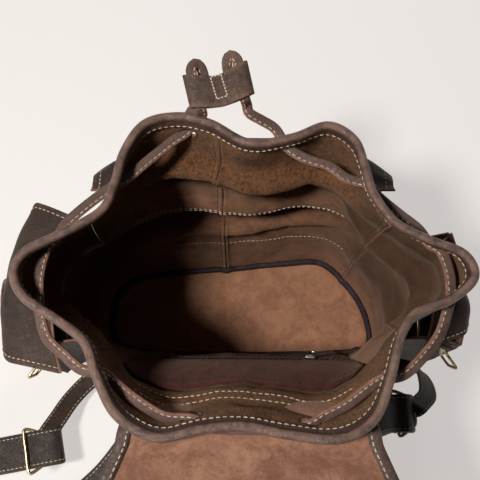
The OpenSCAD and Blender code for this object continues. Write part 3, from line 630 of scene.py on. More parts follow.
def slit_space(t, z, slit):
    """Where a point is in a slit's own units: 1 is its edge."""
    speed = float(np.linalg.norm(wall(slit + 0.005, SLIT_Z) - wall(slit - 0.005, SLIT_Z)) / 0.01)
    return (t - slit) * speed / SLIT_HALF_WIDE, (z - SLIT_Z) / SLIT_HALF_TALL, speed


def painted_fold_shade(t, z):
    """Painted shade: how much darker the suede is painted where it lies in a fold's recess, and on the two
    shadowed sides below the collar.
    """
    from_front, from_back = from_ends(t)
    front = np.exp(-((from_front / 0.14) ** 6))
    side = 1 - np.maximum(front, np.exp(-((from_back / 0.17) ** 6)))
    below = np.clip((z - 20) / 70, 0, 1) * np.clip((318 - z) / 36, 0, 1)
    recess = front * np.maximum(bump(z, 264 + 60 * from_front, 15), bump(z, 172 - 90 * from_front, 15))
    return np.clip(0.78 * side * below + 0.8 * recess, 0, 0.86)


def corner_cells(cells, outside):
    """The four cells around each corner of a grid, where outside stands for those beyond its edge."""
    padded = np.pad(cells, 1, constant_values=outside)
    rows, cols = cells.shape
    return [padded[r:r + rows + 1, c:c + cols + 1] for r in (0, 1) for c in (0, 1)]


def cut_slit(tt, zz, slit):
    """Which cells a slit leaves open, and the grid with the corners around them moved onto its edge."""
    u, v, speed = slit_space(tt, zz, slit)
    reach = np.hypot(u, v)
    hole = (reach[:-1, :-1] + reach[1:, 1:] + reach[:-1, 1:] + reach[1:, :-1]) / 4 < 1
    edge = np.any(corner_cells(hole, False), axis=0) & ~np.all(corner_cells(hole, True), axis=0)
    pull = np.where(edge, 1 / np.maximum(reach, 0.2), 1)
    tt = np.where(edge, slit + u * pull * SLIT_HALF_WIDE / speed, tt)
    zz = np.where(edge, SLIT_Z + v * pull * SLIT_HALF_TALL, zz)
    return hole, tt, zz


def make_walls():
    seam, column = 0.0004, 0.0021
    for name, (low, high) in PANELS.items():
        t = np.linspace(low + seam, high - seam, int((high - low) / column))
        tt, zz = np.meshgrid(t, wall_rows())
        skip = np.zeros((tt.shape[0] - 1, tt.shape[1] - 1), bool)
        for slit in SLITS:
            if low < slit < high:
                hole, tt, zz = cut_slit(tt, zz, slit)
                skip |= hole
        wear = 0.25 * np.clip((zz - 300) / 60, 0, 1) + 0.35 * np.clip((14 - zz) / 10, 0, 1)
        # the walls take the darker copy of the suede, painted shade for their dimmer light
        obj = sheet_piece(name + "_leather", wall(tt, zz), ["outer", "suede_wall_shaded", "raw_edge"], LEATHER,
                          skip=skip, wear=wear)
        paint(obj, np.clip((zz - COLLAR_LOW) / 10, 0, 1), "nap")
        # painted shade in the fold recesses and on the shadowed sides below the collar
        paint(obj, painted_fold_shade(tt, zz), "shade")
        finish_piece(obj, "bag", "outer_leather", name)


def make_slit_stitches():
    rows = []
    margin = 1.6
    for slit in SLITS:
        around = circle(SLIT_HALF_WIDE + margin, SLIT_HALF_TALL + margin, 40)
        t = slit + around[:, 0] / slit_space(0, 0, slit)[2]
        z = SLIT_Z + around[:, 1]
        normal = wall_normal(t, z)
        for side in (-1, 1):
            rows.append((wall(t, z) + normal * side * (SURFACE + 0.1), normal * side, True))
    stitches("slit_stitches", rows, "bag", 0.5, "dark_thread")


def make_rim():
    """A strip folded over the walls' top edge: a lip on each side and a round roll above."""
    t = np.linspace(0, 1, 460, endpoint=False)
    top = np.full_like(t, RIM)
    line = wall(t, top, plain=True)
    line[:, 2] += 0.9 * np.sin(2 * np.pi * 5 * t) + 0.6 * np.sin(2 * np.pi * 11 * t + 1)
    out = np.pad(wall_out(t, top), ((0, 0), (0, 1)))
    lean = wall_normal(t, top - 10)
    down = -unit(np.cross(np.cross(lean, UP), lean))
    lip, lip_out = down * 12.5, out * 2.7
    # half of the section: how far out, and how far below the line or above it
    roll = [(3.5, -3.2), (4.0, -1.0), (3.7, 1.4), (2.5, 3.2), (0, 4.0)]
    roll += [(-x, z) for x, z in roll[-2::-1]]
    rings = [line + lip + lip_out - out * 1.2, line + lip + lip_out, line + down * 7 + out * 2.9]
    rings += [line + out * x + UP * z for x, z in roll]
    rings += [line + down * 7 - out * 2.9, line + lip - lip_out, line + lip - lip_out + out * 1.2]
    faces = [face[::-1] for face in grid_faces(len(t), len(rings), wrap_rows=True)]
    obj = new_object("rim_binding_leather", np.stack(rings, axis=1), faces, ["binding"])
    wear = np.array([0.2, 0.6, 0.1, 0.1, 0.3, 0.5, 0.7, 0.6, 0.7, 0.5, 0.3, 0.1, 0.1, 0.6, 0.2])
    paint(obj, np.tile(wear, len(t)))
    round_edges(obj)
    finish_piece(obj, "bag", "binding_leather", "rim_binding")
    rows = [(line + down * 9.3 + out * side * 3.1, out * side, True) for side in (-1, 1)]
    stitches("rim_stitches", rows, "bag")


def make_base():
    n_round, n_in = 128, 14
    t = np.linspace(0, 1, n_round, endpoint=False)
    edge = closed_curve(BASE_OUTLINE, t)
    rings = []
    for f in 1 - np.arange(n_in + 1) / n_in:
        xy = edge * max(f, 0.02)
        sag = 2.2 * ripple(xy[:, 0], xy[:, 1], 0 * xy[:, 0], 70, 3) * np.clip(1 - f, 0, 0.3) / 0.3
        rings.append(np.concatenate([xy, (1.6 + np.maximum(sag, -0.4))[:, None]], axis=1))
    faces = grid_faces(n_in + 1, n_round, wrap_cols=True)
    faces.append(tuple(n_in * n_round + i for i in range(n_round)))
    obj = new_object("base_leather", np.stack(rings), faces, ["suede", "outer", "raw_edge"])
    thicken(obj, 2.6, -0.2, 1, 2)
    finish_piece(obj, "bag", "outer_leather", "base_panel")
    # dark woven piping around the base's seam, taller than it is wide
    line = wall(t, np.full_like(t, 9.0), -SURFACE - 3.2)
    line[:, 2] = 8.5 + 0.8 * np.sin(2 * np.pi * 7 * t)
    out = np.pad(wall_out(t, line[:, 2]), ((0, 0), (0, 1)))
    up = np.tile(UP, (n_round, 1))
    obj = sweep("base_piping_tape", line, out, up, circle(3.6, 5.2), ["piping"], closed=True)
    finish_piece(obj, "bag", "dark_piping", "base_piping")


def on_wall(t, z, side):
    """A row of stitches on the wall's outer face (side 1) or its inner face (side -1)."""
    t, z = np.broadcast_arrays(t, z)
    normal = wall_normal(t, z)
    return wall(t, z) + normal * side * (SURFACE + 0.15), normal * side


def make_inner_seams():
    """Rows of stitches across the walls and along their seams."""
    front = np.linspace(0.872, 1.128, 160)
    rows = [on_wall(front, z + 12 * from_ends(front)[0], -1) for z in (205.0, 211.0)]
    rows.append(on_wall(np.linspace(0.85, 1.14, 160), 96.0, -1))
    rows += [on_wall(np.linspace(0.412, 0.588, 120), z, side) for z in (300.0, 307.0) for side in (-1, 1)]
    sides = [np.linspace(t - 0.062, t + 0.062, 80) for t in (0.252, 0.748)]
    rows += [on_wall(t, z, -1) for t in sides for z in (214.0, 220.0)]
    stitches("wall_stitches", rows, "bag", 0.5)
    height = np.linspace(12, 340, 120)
    beside = 0.0055
    outer_rows = [on_wall(seam + shift, height, 1) for seam in SEAMS for shift in (-beside, beside)]
    inner_rows = [on_wall(seam + beside, height, -1) for seam in SEAMS]
    stitches("seam_stitches_outside", outer_rows, "bag", 0.5)
    stitches("seam_stitches_inside", inner_rows, "bag", 0.42, "dark_thread")


make_walls()
make_slit_stitches()
make_rim()
make_base()
make_inner_seams()

# ---------------------------------------------------------------- drawcord and toggle

TOGGLE_AT = np.array([21.0, -118.0, 379.0])
TOGGLE_TILT = math.radians(20)
TOGGLE_PITCH = 19.0
TOGGLE_LENGTH = 28.0
TOGGLE_ALONG = np.array([0, -math.cos(TOGGLE_TILT), math.sin(TOGGLE_TILT)])
TOGGLE_UP = np.array([0, math.sin(TOGGLE_TILT), math.cos(TOGGLE_TILT)])
TOGGLE_LEAN = math.radians(13)
TOGGLE_ACROSS = np.array([math.cos(TOGGLE_LEAN), 0, 0]) - TOGGLE_ALONG * math.sin(TOGGLE_LEAN)
TOGGLE_LONG = TOGGLE_ALONG * math.cos(TOGGLE_LEAN) + np.array([math.sin(TOGGLE_LEAN), 0, 0])
LACE_W, LACE_T = 9.0, 4.0


def toggle_point(across, along, up):
    """A point in the toggle's own directions: across its two holes, along the lace and up."""
    return TOGGLE_AT + TOGGLE_ACROSS * across + TOGGLE_LONG * along + TOGGLE_UP * up


def lace_end(side):
    """One end of the lace: up through the toggle, round in a loop and back under it."""
    pitch = TOGGLE_PITCH
    spots = [(pitch + 1, -20, -13), (pitch, -16, -1), (pitch, -6, 0), (pitch, 8, 0), (pitch + 1, 12, 0),
             (pitch + 0.5, 18, -1), (pitch - 4, 22, -3), (pitch - 8, 17, -6), (pitch - 8.5, 3, -10)]
    return [toggle_point(side * a, b, c) for a, b, c in spots]


def lace_route():
    """From one end, in and out through the slits round the mouth, to the other end."""

    def at_slit(t, out=0.0):
        return wall(t, SLIT_Z, out, plain=True)

    return [*lace_end(1)[::-1], (46, -107, 352), at_slit(0.052, 2), (64, -84, 338), (86, -64, 338),
            (102, -49, 338), at_slit(0.141, 1), (124, -34, 338), (140, -20, 338), (151, -8, 338),
            at_slit(0.212), (166, 14, 338), (170, 38, 338), (168, 60, 338), at_slit(0.303, 1),
            (160, 88, 338), (146, 101, 338), (130, 114, 338), at_slit(0.385), (101, 126, 338),
            (82, 140, 338), (62, 151, 338), at_slit(0.462, 1), (24, 159, 338), (0, 160, 338),
            (-26, 160, 338), at_slit(0.544, 1), (-64, 150, 338), (-82, 141, 338), (-100, 128, 338),
            at_slit(0.612), (-128, 118, 338), (-146, 102, 338), (-160, 84, 338), at_slit(0.712, 1),
            (-171, 52, 338), (-171, 34, 338), (-166, 16, 338), at_slit(0.788), (-148, -4, 338),
            (-132, -18, 338), (-116, -33, 338), at_slit(0.871, 1), (-90, -50, 338), (-74, -62, 338),
            (-56, -68, 338), at_slit(0.971), (-28, -93, 346), (-15, -99, 352), (-5, -103, 357),
            *lace_end(-1)]


def make_lace():
    line = smooth_line(lace_route(), 2.5)
    along = tangents(line)
    side = unit(np.cross(along, np.array([0, 0.4, 0.9])))
    up = np.cross(side, along)
    profile = strap_profile(LACE_W, LACE_T, 1.5, 0.25)
    # the folded edge is smooth and the other, cut edge shows the raw leather
    material = [1 if x < -LACE_W / 2 + 1.3 else 0 for x in (profile[:, 0] + np.roll(profile[:, 0], -1)) / 2]
    obj = sweep("drawcord_lace", line, side, up, profile, ["lace", "raw_edge"], face_material=material)
    edge_wear(obj, profile, LACE_W, len(line), 1.5, 0.6)
    finish_piece(obj, "bag", "lace_leather", "drawcord")
    seam = line - side * (LACE_W / 2 - 2.4)
    rows = [(seam + up * (LACE_T / 2 + 0.15), up), (seam - up * (LACE_T / 2 - 0.05), -up)]
    stitches("lace_stitches", rows, "bag", 0.5)


def make_toggle():
    """A wide band folded round the two strands, stitched together in its middle."""
    tall, wide, waist, pinch = 5.4, 9.0, 11.0, 2.2
    half_ring = []
    for a in np.radians(np.linspace(-115, 115, 17)):
        half_ring.append((TOGGLE_PITCH + wide * math.cos(a), tall * math.sin(a)))
    half_ring += [(x, pinch + 2.4 * (x / waist) ** 2) for x in np.linspace(waist, -waist, 11)]
    # the other half is the same, turned half way round
    ring = np.array(half_ring + [(-x, -y) for x, y in half_ring])
    s = np.linspace(-1, 1, 15)
    # the top edge dips and the lower edge hangs down between the two strands
    dip = np.clip(1 - (np.abs(ring[:, 0]) / 26) ** 1.3, 0, 1)
    rings = []
    for f in s:
        shift = f * TOGGLE_LENGTH / 2 - dip * (6.5 if f > 0 else 4.5) * abs(f)
        rings.append(toggle_point(ring[:, :1], shift[:, None], ring[:, 1:] * (1 + 0.06 * f * f)))
    points = np.stack(rings)
    faces = grid_faces(len(s), len(ring), wrap_cols=True)
    obj = new_object("toggle_band", points, faces, ["outer", "raw_edge"])
    edge = np.repeat(np.clip((np.abs(s) - 0.7) / 0.3, 0, 1), len(ring))
    paint(obj, 0.45 + 0.5 * edge)
    thicken(obj, 1.6, -1.0, 1, 1)
    finish_piece(obj, "toggle", "outer_leather", "cord_toggle")
    # the rectangle of stitches in its middle, on both faces
    lean = math.radians(-4)
    half_w, half_h = 4.6, 9.4
    corners = [(-half_w, -half_h), (half_w, -half_h), (half_w, half_h), (-half_w, half_h)]
    corners = [(x * math.cos(lean) - y * math.sin(lean), x * math.sin(lean) + y * math.cos(lean) - 2)
               for x, y in corners]
    sets = []
    for face in (-1, 1):
        spots = [toggle_point(x, y, face * 2.7) for x, y in corners]
        for a, b in zip(spots, spots[1:] + spots[:1]):
            sets.append(stitch_shapes(np.linspace(a, b, 10), TOGGLE_UP * face, 2.2, 0.5, 0.75))
    obj = new_object("toggle_stitches", *join_sets(sets), ["thread"])
    finish_piece(obj, "toggle", "lace_leather")


make_lace()
make_toggle()

# ---------------------------------------------------------------- front pocket

FRONT_LOW, FRONT_TOP = 46.0, 202.0
FRONT_HALF = 140.0
FRONT_REACH = 138.0


def front_face(s, z, back=0.0):
    """A point on the front pocket's face, s from 0 to 1 across it."""
    u = 2 * s - 1
    rise = (z - FRONT_LOW) / (FRONT_TOP - FRONT_LOW)
    y = back - FRONT_REACH + 14 * u**2 + 12 * (1 - rise) ** 2
    return np.stack(np.broadcast_arrays(FRONT_HALF * u, y, z), axis=-1)


def edge_rows(points, inset):
    """Lines that run inset steps inside a grid's left, right and last-row edges, with normals."""
    normal = grid_normal(points)
    i = inset
    picks = [(slice(None, -i), i), (slice(None, -i), -i - 1), (-i - 1, slice(i, -i))]
    return [(points[pick], normal[pick]) for pick in picks]


def lifted(rows, height):
    return [(line + normal * height, normal) for line, normal in rows]


def corner_lift(s, z, low, top):
    """How far the lower corners of a pocket are rounded upwards."""
    return 10 * np.abs(2 * s - 1) ** 12 * np.clip((top - z) / (top - low), 0, 1) ** 4


def make_pocket(label, end, face_at, turns, low, top, out, across, flip, look):
    """A pocket: its face, the rows of stitches near the face's edges, and one soft strip that joins
    the face's sides and bottom to the wall between two turns."""
    s, z = np.meshgrid(np.linspace(0, 1, look["columns"]), np.linspace(low, top, 41))
    u = 2 * s - 1
    points = face_at(s, z)
    waves = ripple(points[..., across], z, z * 0, look["wave"], look["seed"])
    puff = look["puff"] * (1 - u**4) * np.sin(np.pi * (z - low) / (top - low)) + 1.2 * waves
    points += np.array(out) * (puff - 1.5)[..., None]
    points[..., 2] += corner_lift(s, z, low, top)
    face = flipped_if(points, flip)
    wear = 0.5 * np.clip((np.abs(u) - look["worn_from"]) / (1 - look["worn_from"]), 0, 1)
    obj = sheet_piece(f"{label}_leather{end}", face, LEATHER_FACES, LEATHER, 1.0, wear=wear)
    finish_piece(obj, "bag", "outer_leather", f"{label}_face{end}")
    normal = grid_normal(face)
    first = look["first_row"]
    picks = [(slice(first, None), 2), (slice(first, None), -3), (2, slice(2, -2)), (-3, slice(2, -2))]
    stitches(f"{label}_stitches{end}", lifted([(face[pick], normal[pick]) for pick in picks], 0.2), "bag")
    n_up, n_low = 24, look["low_columns"]
    down = np.linspace(top, low + look["corner"], n_up)
    around_z = np.concatenate([down, np.full(n_low, low + 2.0), down[::-1]])
    along_bottom = np.linspace(look["margin"], 1 - look["margin"], n_low)
    around_s = np.concatenate([np.zeros(n_up), along_bottom, np.ones(n_up)])
    around_z = around_z + corner_lift(around_s, around_z, low, top)
    edge = face_at(around_s, around_z, 2.5)
    root = wall(turns[0] + (turns[1] - turns[0]) * around_s, around_z, SURFACE + 0.6)
    lines = []
    for f in np.linspace(0, 1, 13):
        p = edge * (1 - f) + root * f
        dip = look["dip"] * math.sin(math.pi * f)
        p[:n_up, across] += dip
        p[n_up:n_up + n_low, 2] += dip * 0.6
        p[n_up + n_low:, across] -= dip
        lines.append(p)
    strip = np.stack(lines)
    obj = sheet_piece(f"{label}_side_leather{end}", strip if flip else strip[::-1], LEATHER_FACES, LEATHER)
    finish_piece(obj, "bag", "outer_leather", f"{label}_gusset{end}")


FRONT_LOOK = dict(columns=61, wave=60, seed=4, puff=3.5, worn_from=0.94, first_row=4,
                  low_columns=44, corner=14, margin=0.03, dip=5.0)
SIDE_LOOK = dict(columns=41, wave=52, seed=7, puff=3.0, worn_from=0.92, first_row=3,
                 low_columns=26, corner=12, margin=0.04, dip=4.5)


def flipped_if(points, flip):
    return points[:, ::-1] if flip else points


def soft_flap(profile, x_low, x_high, corner, seed, steps):
    """A pocket's flap: a side profile of points (out, z) swept across, rounded at its lower corners."""
    line = even(smooth_line([(a, b, 0) for a, b in profile], 3.0), 3.0)
    n = len(line)
    total = np.linalg.norm(np.diff(line, axis=0), axis=1).sum()
    left = (1 - np.linspace(0, 1, n)) * total
    rounded = corner - np.sqrt(np.maximum(corner**2 - (corner - left) ** 2, 0))
    pull = np.where(left < corner, rounded, 0)[:, None]
    middle, half_w = (x_low + x_high) / 2, (x_high - x_low) / 2
    across = np.linspace(x_low, x_high, steps) - middle
    x = middle + across * (half_w - pull) / half_w
    direction = tangents(line)
    waves = ripple(x, line[:, :1], line[:, 1:2], 46, seed)
    dome = (1.5 * (1 - (across / half_w) ** 2) + 0.9 * waves) * np.minimum(1.0, np.arange(n) / 4)[:, None]
    out = line[:, :1] - direction[:, 1:2] * dome
    return np.stack([x, out, line[:, 1:2] + direction[:, :1] * dome], axis=-1)


def front_flap_grid():
    """The front flap's grid of points: from the wall over the pocket's top and down its face."""
    top, reach = 208.4, FRONT_REACH + 6
    profile = [(85, top + 8), (88, top + 2.5), (96, top + 0.5), (118, top), (reach - 8, top - 1),
               (reach - 2, top - 4), (reach, top - 12), (reach + 0.5, top - 36), (reach, top - 79)]
    grid = soft_flap(profile, -FRONT_HALF - 4, FRONT_HALF + 4, 18, 6, 96)
    out = grid.copy()
    u = grid[..., 0] / FRONT_HALF
    out[..., 0] *= 1 + 0.1 * np.clip(np.abs(u) - 0.5, 0, 1) * 2
    far = np.clip((grid[..., 1] - 90) / 50, 0, 1)
    # the flap rounds back towards its two ends, and its edges droop
    out[..., 1] = -(grid[..., 1] - far * (34 * np.abs(u) ** 4 - 4))
    out[..., 2] += far * (3 * (1 - u**2) - 5 * np.abs(u) ** 5) * np.clip((grid[..., 2] - 150) / 40, 0, 1)
    return out[:, ::-1]


def strap_with_stud(name, body, slot, points, across, width, thickness, stud_at, stud_out, node_strap,
                    node_stud, stud_material):
    """A short closing strap with stitched edges and a domed stud near its end."""
    line = smooth_line(points, 2.0)
    side, up = flat_frames(line, across)
    taper = np.clip(np.sqrt(np.clip(np.arange(len(line))[::-1] * 2.0 / (width / 2), 0, 1)), 0.25, 1)
    profile = strap_profile(width, thickness)
    profiles = np.stack([profile * [k, 1] for k in taper])
    obj = sweep(name, line, side, up, profiles, ["outer"])
    edge_wear(obj, profile, width, len(line), 3.0, 0.6)
    finish_piece(obj, body, "outer_leather", node_strap)
    inset = (width / 2 - 3) * taper[:, None]
    sign = 1 if np.dot(up[len(up) // 2], stud_out) > 0 else -1
    rows = [(line + side * k * inset + up * sign * (thickness / 2 + 0.15), up * sign) for k in (-1, 1)]
    stitches(name + "_stitches", rows, body, 0.5)
    make_stud(node_stud + "_cap", stud_at, stud_out, stud_material, body, slot, node_stud)


def turned(name, rings, centre, axis, materials, count=32):
    """A round piece from (radius, height) pairs about an axis."""
    axis = unit(axis)
    ref = np.array([1.0, 0, 0]) if abs(axis[0]) < 0.8 else np.array([0, 1.0, 0])
    a = unit(np.cross(axis, ref))
    around = circle(1.0, count=count) @ np.stack([a, np.cross(axis, a)])
    points = np.stack([np.asarray(centre) + around * r + axis * h for r, h in rings])
    faces = grid_faces(len(rings), count, wrap_cols=True)
    faces += [tuple(range(count))[::-1], tuple((len(rings) - 1) * count + i for i in range(count))]
    return new_object(name, points, faces, materials)


def make_stud(name, centre, out, material, body, slot, node):
    """A low domed stud with a step around its edge."""
    r = 6.6
    rings = [(r * 0.7, -0.2), (r, 0.0), (r * 1.02, 0.5), (r * 0.97, 1.0), (r * 0.86, 1.2), (r * 0.8, 1.05),
             (r * 0.72, 1.35), (r * 0.5, 2.0), (r * 0.25, 2.35), (0.3, 2.45)]
    obj = turned(name, rings, centre, out, [material])
    finish_piece(obj, body, slot, node)


def make_front_flap():
    grid = front_flap_grid()
    u = np.abs(np.linspace(-1, 1, grid.shape[1]))
    wear = np.tile(0.15 + 0.6 * np.clip((u - 0.96) / 0.04, 0, 1), (grid.shape[0], 1))
    bend = np.argmin(np.abs(grid[:, grid.shape[1] // 2, 2] - 204))
    wear[bend - 3:bend + 4] = np.maximum(wear[bend - 3:bend + 4], 0.55)
    obj = sheet_piece("front_flap_leather", grid, LEATHER_FACES, LEATHER, 0.6, wear=wear)
    finish_piece(obj, "front_flap", "outer_leather", "front_pocket_flap")
    stitches("front_flap_stitches", lifted(edge_rows(grid, 2), 1.9), "front_flap")
    strap_with_stud("front_pocket_strap_leather", "front_flap", "brass",
                    [(0, -148.5, 196), (0, -149, 170), (0, -148.6, 140), (0, -148, 105)], (1, 0, 0), 26, 2.6,
                    (0, -149.6, 116), (0, -1, 0), "front_pocket_strap", "front_pocket_stud", "brass")


make_pocket("front_pocket", "", front_face, (0.842, 1.145), FRONT_LOW, FRONT_TOP, (0, -1, 0), 0, False,
            FRONT_LOOK)
make_front_flap()

# ---------------------------------------------------------------- side pockets

SIDE_LOW, SIDE_TOP = 40.0, 206.0
SIDE_REACH = 226.0
# For each side: its sign, the turns where the pocket meets the wall, and the face's front and back
SIDES = {"left": (1, (0.172, 0.328), (-50.0, 84.0)),
         "right": (-1, (0.83, 0.672), (-42.0, 74.0))}


def side_face(sign, ys, s, z, inwards=0.0):
    """A point on a side pocket's face, s from 0 to 1 across it."""
    u = 2 * s - 1
    rise = (z - SIDE_LOW) / (SIDE_TOP - SIDE_LOW)
    x = sign * (SIDE_REACH - inwards - 9 * u**2 - 8 * (1 - rise) ** 2)
    return np.stack(np.broadcast_arrays(x, ys[0] + (ys[1] - ys[0]) * s, z), axis=-1)


def make_side_pocket(which):
    sign, turns, ys = SIDES[which]

    def face_at(s, z, inwards=0.0):
        return side_face(sign, ys, s, z, inwards)

    make_pocket("side_pocket", f"_{which}", face_at, turns, SIDE_LOW, SIDE_TOP, (sign, 0, 0), 1, sign < 0,
                SIDE_LOOK)


# In plan: how far the flap's outer side stands out along it, and its front and back edges at the
# wall and at the outer side
FLAP_PLAN = {"left": ([224, 237, 243, 245, 240], (-58, -78), (104, 90)),
             "right": ([182, 204, 220, 230, 228], (-40, -52), (82, 62))}


def side_flap_grid(which):
    """A side flap's grid of points: from the wall, out over the pocket and down its face."""
    sign = SIDES[which][0]
    reaches, front, back = FLAP_PLAN[which]
    top, steps, drop, corner = 212.4, 60, 74.0, 16
    # how far out as a part of the flap's reach, and how far above its top
    profile = smooth_line([(0, 9, 0), (0.03, 4, 0), (0.12, 1.5, 0), (0.5, 3, 0), (0.82, 0, 0), (0.95, -6, 0),
                           (1.0, -16, 0), (1.01, -40, 0), (1.0, -drop, 0)], 0.4)[:, :2]
    weights = np.array([44.0, 1.0])
    u = np.linspace(-1, 1, steps)
    reach = smooth_line([(r, 0, 0) for r in reaches], 1.0)[:, 0]
    fine = open_curve([(r, 0) for r in reaches], np.linspace(0, len(reaches) - 1, len(reach)))[:, 0]
    reach = np.interp(u, np.linspace(-1, 1, len(reach)), fine)
    inner = 190.0 - 14 * u**2
    rows = []
    for f, z in even(profile * weights, 3.0) / weights:
        near_end = np.clip((z + drop) / corner, 0, 1) if f > 0.9 else 1.0
        pull = corner * (1 - math.sqrt(max(1 - (1 - near_end) ** 2, 0)))
        pull += 9 * np.clip((f - 0.8) / 0.2, 0, 1) ** 2
        low, high = front[0] + (front[1] - front[0]) * f, back[0] + (back[1] - back[0]) * f
        y = (low + high) / 2 + ((high - low) / 2 - pull) * u
        x = inner + (reach - inner) * f
        over = np.clip(f, 0, 1)
        dome = 5 * (1 - u**2) * np.sin(np.pi * over) - 3 * u**4 * np.sin(np.pi / 2 * over)
        soft = 1.3 * ripple(x, y, np.full_like(y, z), 58, 8 + sign)
        rows.append(np.stack([sign * (x + 0.4 * soft), y, top + z + dome + soft], axis=1))
    grid = np.stack(rows)
    return grid if sign < 0 else grid[:, ::-1]


def make_side_flap(which):
    sign = SIDES[which][0]
    body = f"side_flap_{which}"
    grid = side_flap_grid(which)
    reach = FLAP_PLAN[which][0][2]
    u = np.abs(np.linspace(-1, 1, grid.shape[1]))
    wear = np.tile(0.15 + 0.6 * np.clip((u - 0.94) / 0.06, 0, 1), (grid.shape[0], 1))
    obj = sheet_piece(f"side_flap_leather_{which}", grid, LEATHER_FACES, LEATHER, -0.4, wear=wear)
    finish_piece(obj, body, "outer_leather", f"side_pocket_flap_{which}")
    stitches(f"side_flap_stitches_{which}", lifted(edge_rows(grid, 2), 1.0), body)
    x = sign * (reach + 4.6)
    route = [(x - sign * back, 18, z) for back, z in ((9, 206), (1.5, 194), (0, 172), (0, 150), (0.6, 128))]
    strap_with_stud(f"side_pocket_strap_leather_{which}", body, "dark_stud", route, (0, 1, 0), 24, 2.4,
                    (x + sign * 1.3, 18, 138), (sign, 0, 0), f"side_pocket_strap_{which}",
                    f"side_pocket_stud_{which}", "gunmetal")
    # the stitched keeper that holds the strap against the flap
    plan = ((2.6, 0), (3.4, 2.5), (6.6, 6), (7.6, 18), (6.8, 30), (4.2, 33.5), (3.4, 36))
    line = smooth_line([(reach + out, y, 183) for out, y in plan], 1.5)
    line[:, 0] *= sign
    side, up = flat_frames(line, (0, 0, 1))
    profile = strap_profile(14, 1.8)
    obj = sweep(f"side_pocket_keeper_leather_{which}", line, side, up, profile, ["binding"])
    edge_wear(obj, profile, 14, len(line), 3.0, 0.8)
    finish_piece(obj, body, "binding_leather", f"side_pocket_keeper_{which}")
    out = up if np.sum(up[:, 0] * sign) > 0 else -up
    rows = [(line[2:-2] + side[2:-2] * k + out[2:-2] * 1.05, out[2:-2]) for k in (-5, 5)]
    stitches(f"side_pocket_keeper_stitches_{which}", rows, body, 0.45)


for which_side in SIDES:
    make_side_pocket(which_side)
    make_side_flap(which_side)

# ---------------------------------------------------------------- zipped pocket

ZIP_EDGES = (0.395, 0.605)
ZIP_LOW, ZIP_HIGH, ZIP_Z = 125.0, 288.0, 228.0
ZIP_HALF, ZIP_SHIFT = 82.0, -2.0
ZIP_SKIN = -SURFACE - 0.3
SLIDER_X = -62.0
# The pull lies to one side, as in the photograph: degrees from straight down
PULL_LEAN = 60


def zip_face(t, z, inwards=0.0):
    """The pocket's face: on the wall at its top and bottom, straight across at the zip."""
    t, z = np.broadcast_arrays(np.asarray(t, float), np.asarray(z, float))
    s = ((t - ZIP_EDGES[0]) / (ZIP_EDGES[1] - ZIP_EDGES[0]))[..., None]
    reach = np.where(z > ZIP_Z, ZIP_HIGH - ZIP_Z, ZIP_Z - ZIP_LOW)
    straight = (1 - ((z - ZIP_Z) / reach) ** 2)[..., None]
    a, b = (wall(np.full_like(t, edge), z, ZIP_SKIN - inwards, plain=True) for edge in ZIP_EDGES)
    fold = np.minimum(folds(t, z), 0.0) - 0.8
    curved = wall(t, z, ZIP_SKIN - inwards + fold * (1 - straight[..., 0]), plain=True)
    return curved * (1 - straight) + (a * (1 - s) + b * s) * straight


ZIP_A = zip_face(ZIP_EDGES[0], ZIP_Z)
ZIP_B = zip_face(ZIP_EDGES[1], ZIP_Z)
ZIP_ALONG = unit(ZIP_A - ZIP_B)
ZIP_IN = unit(np.cross(ZIP_ALONG, UP))
ZIP_MIDDLE = ZIP_A + (ZIP_B - ZIP_A) * (ZIP_A[0] - ZIP_SHIFT) / (ZIP_A[0] - ZIP_B[0])


def zip_point(x, inwards, up):
    return ZIP_MIDDLE + ZIP_ALONG * x + ZIP_IN * inwards + UP * up


def zip_turn(x):
    return ZIP_EDGES[0] + (ZIP_EDGES[1] - ZIP_EDGES[0]) * (ZIP_A[0] - x) / (ZIP_A[0] - ZIP_B[0])


def make_zip_pocket():
    t = np.linspace(ZIP_EDGES[0] - 0.004, ZIP_EDGES[1] + 0.004, 110)
    opening, below = 4.4, 30
    z = np.concatenate([np.linspace(ZIP_LOW, ZIP_Z - opening, below), [ZIP_Z - 1, ZIP_Z + 1],
                        np.linspace(ZIP_Z + opening, ZIP_HIGH, 18)])
    tt, zz = np.meshgrid(t, z)
    skip = np.zeros((len(z) - 1, len(t) - 1), bool)
    side_a, side_b = zip_turn(ZIP_SHIFT + ZIP_HALF), zip_turn(ZIP_SHIFT - ZIP_HALF)
    inside = (t[:-1] > side_a) & (t[1:] < side_b)
    skip[below - 1:below + 2] = inside[None]
    points = zip_face(tt, zz, 0.6)
    soft = 0.9 * ripple(points[..., 0], zz, zz * 0, 44, 11) + 0.5 * ripple(points[..., 0], zz, zz * 0, 17, 12)
    points[..., 1] -= np.abs(soft) * np.clip(np.abs(zz - ZIP_Z) / 25 - 0.3, 0, 1)
    # seen from inside the bag, so the columns run the other way
    obj = sheet_piece("zip_pocket_suede", points[:, ::-1], ["burgundy"], 1.8, 1.0, 0, 0, skip[:, ::-1])
    finish_piece(obj, "bag", "pocket_suede", "zip_pocket_panel")
    normal = grid_normal(points)
    inwards = normal * np.where(normal[..., 1:2] > 0, -1, 1)
    picks = (2, len(z) - 3, below - 3, below + 4)
    rows = [(points[row] + inwards[row] * 2.1, inwards[row]) for row in picks]
    stitches("zip_pocket_stitches", rows, "bag", 0.42, "dark_thread")


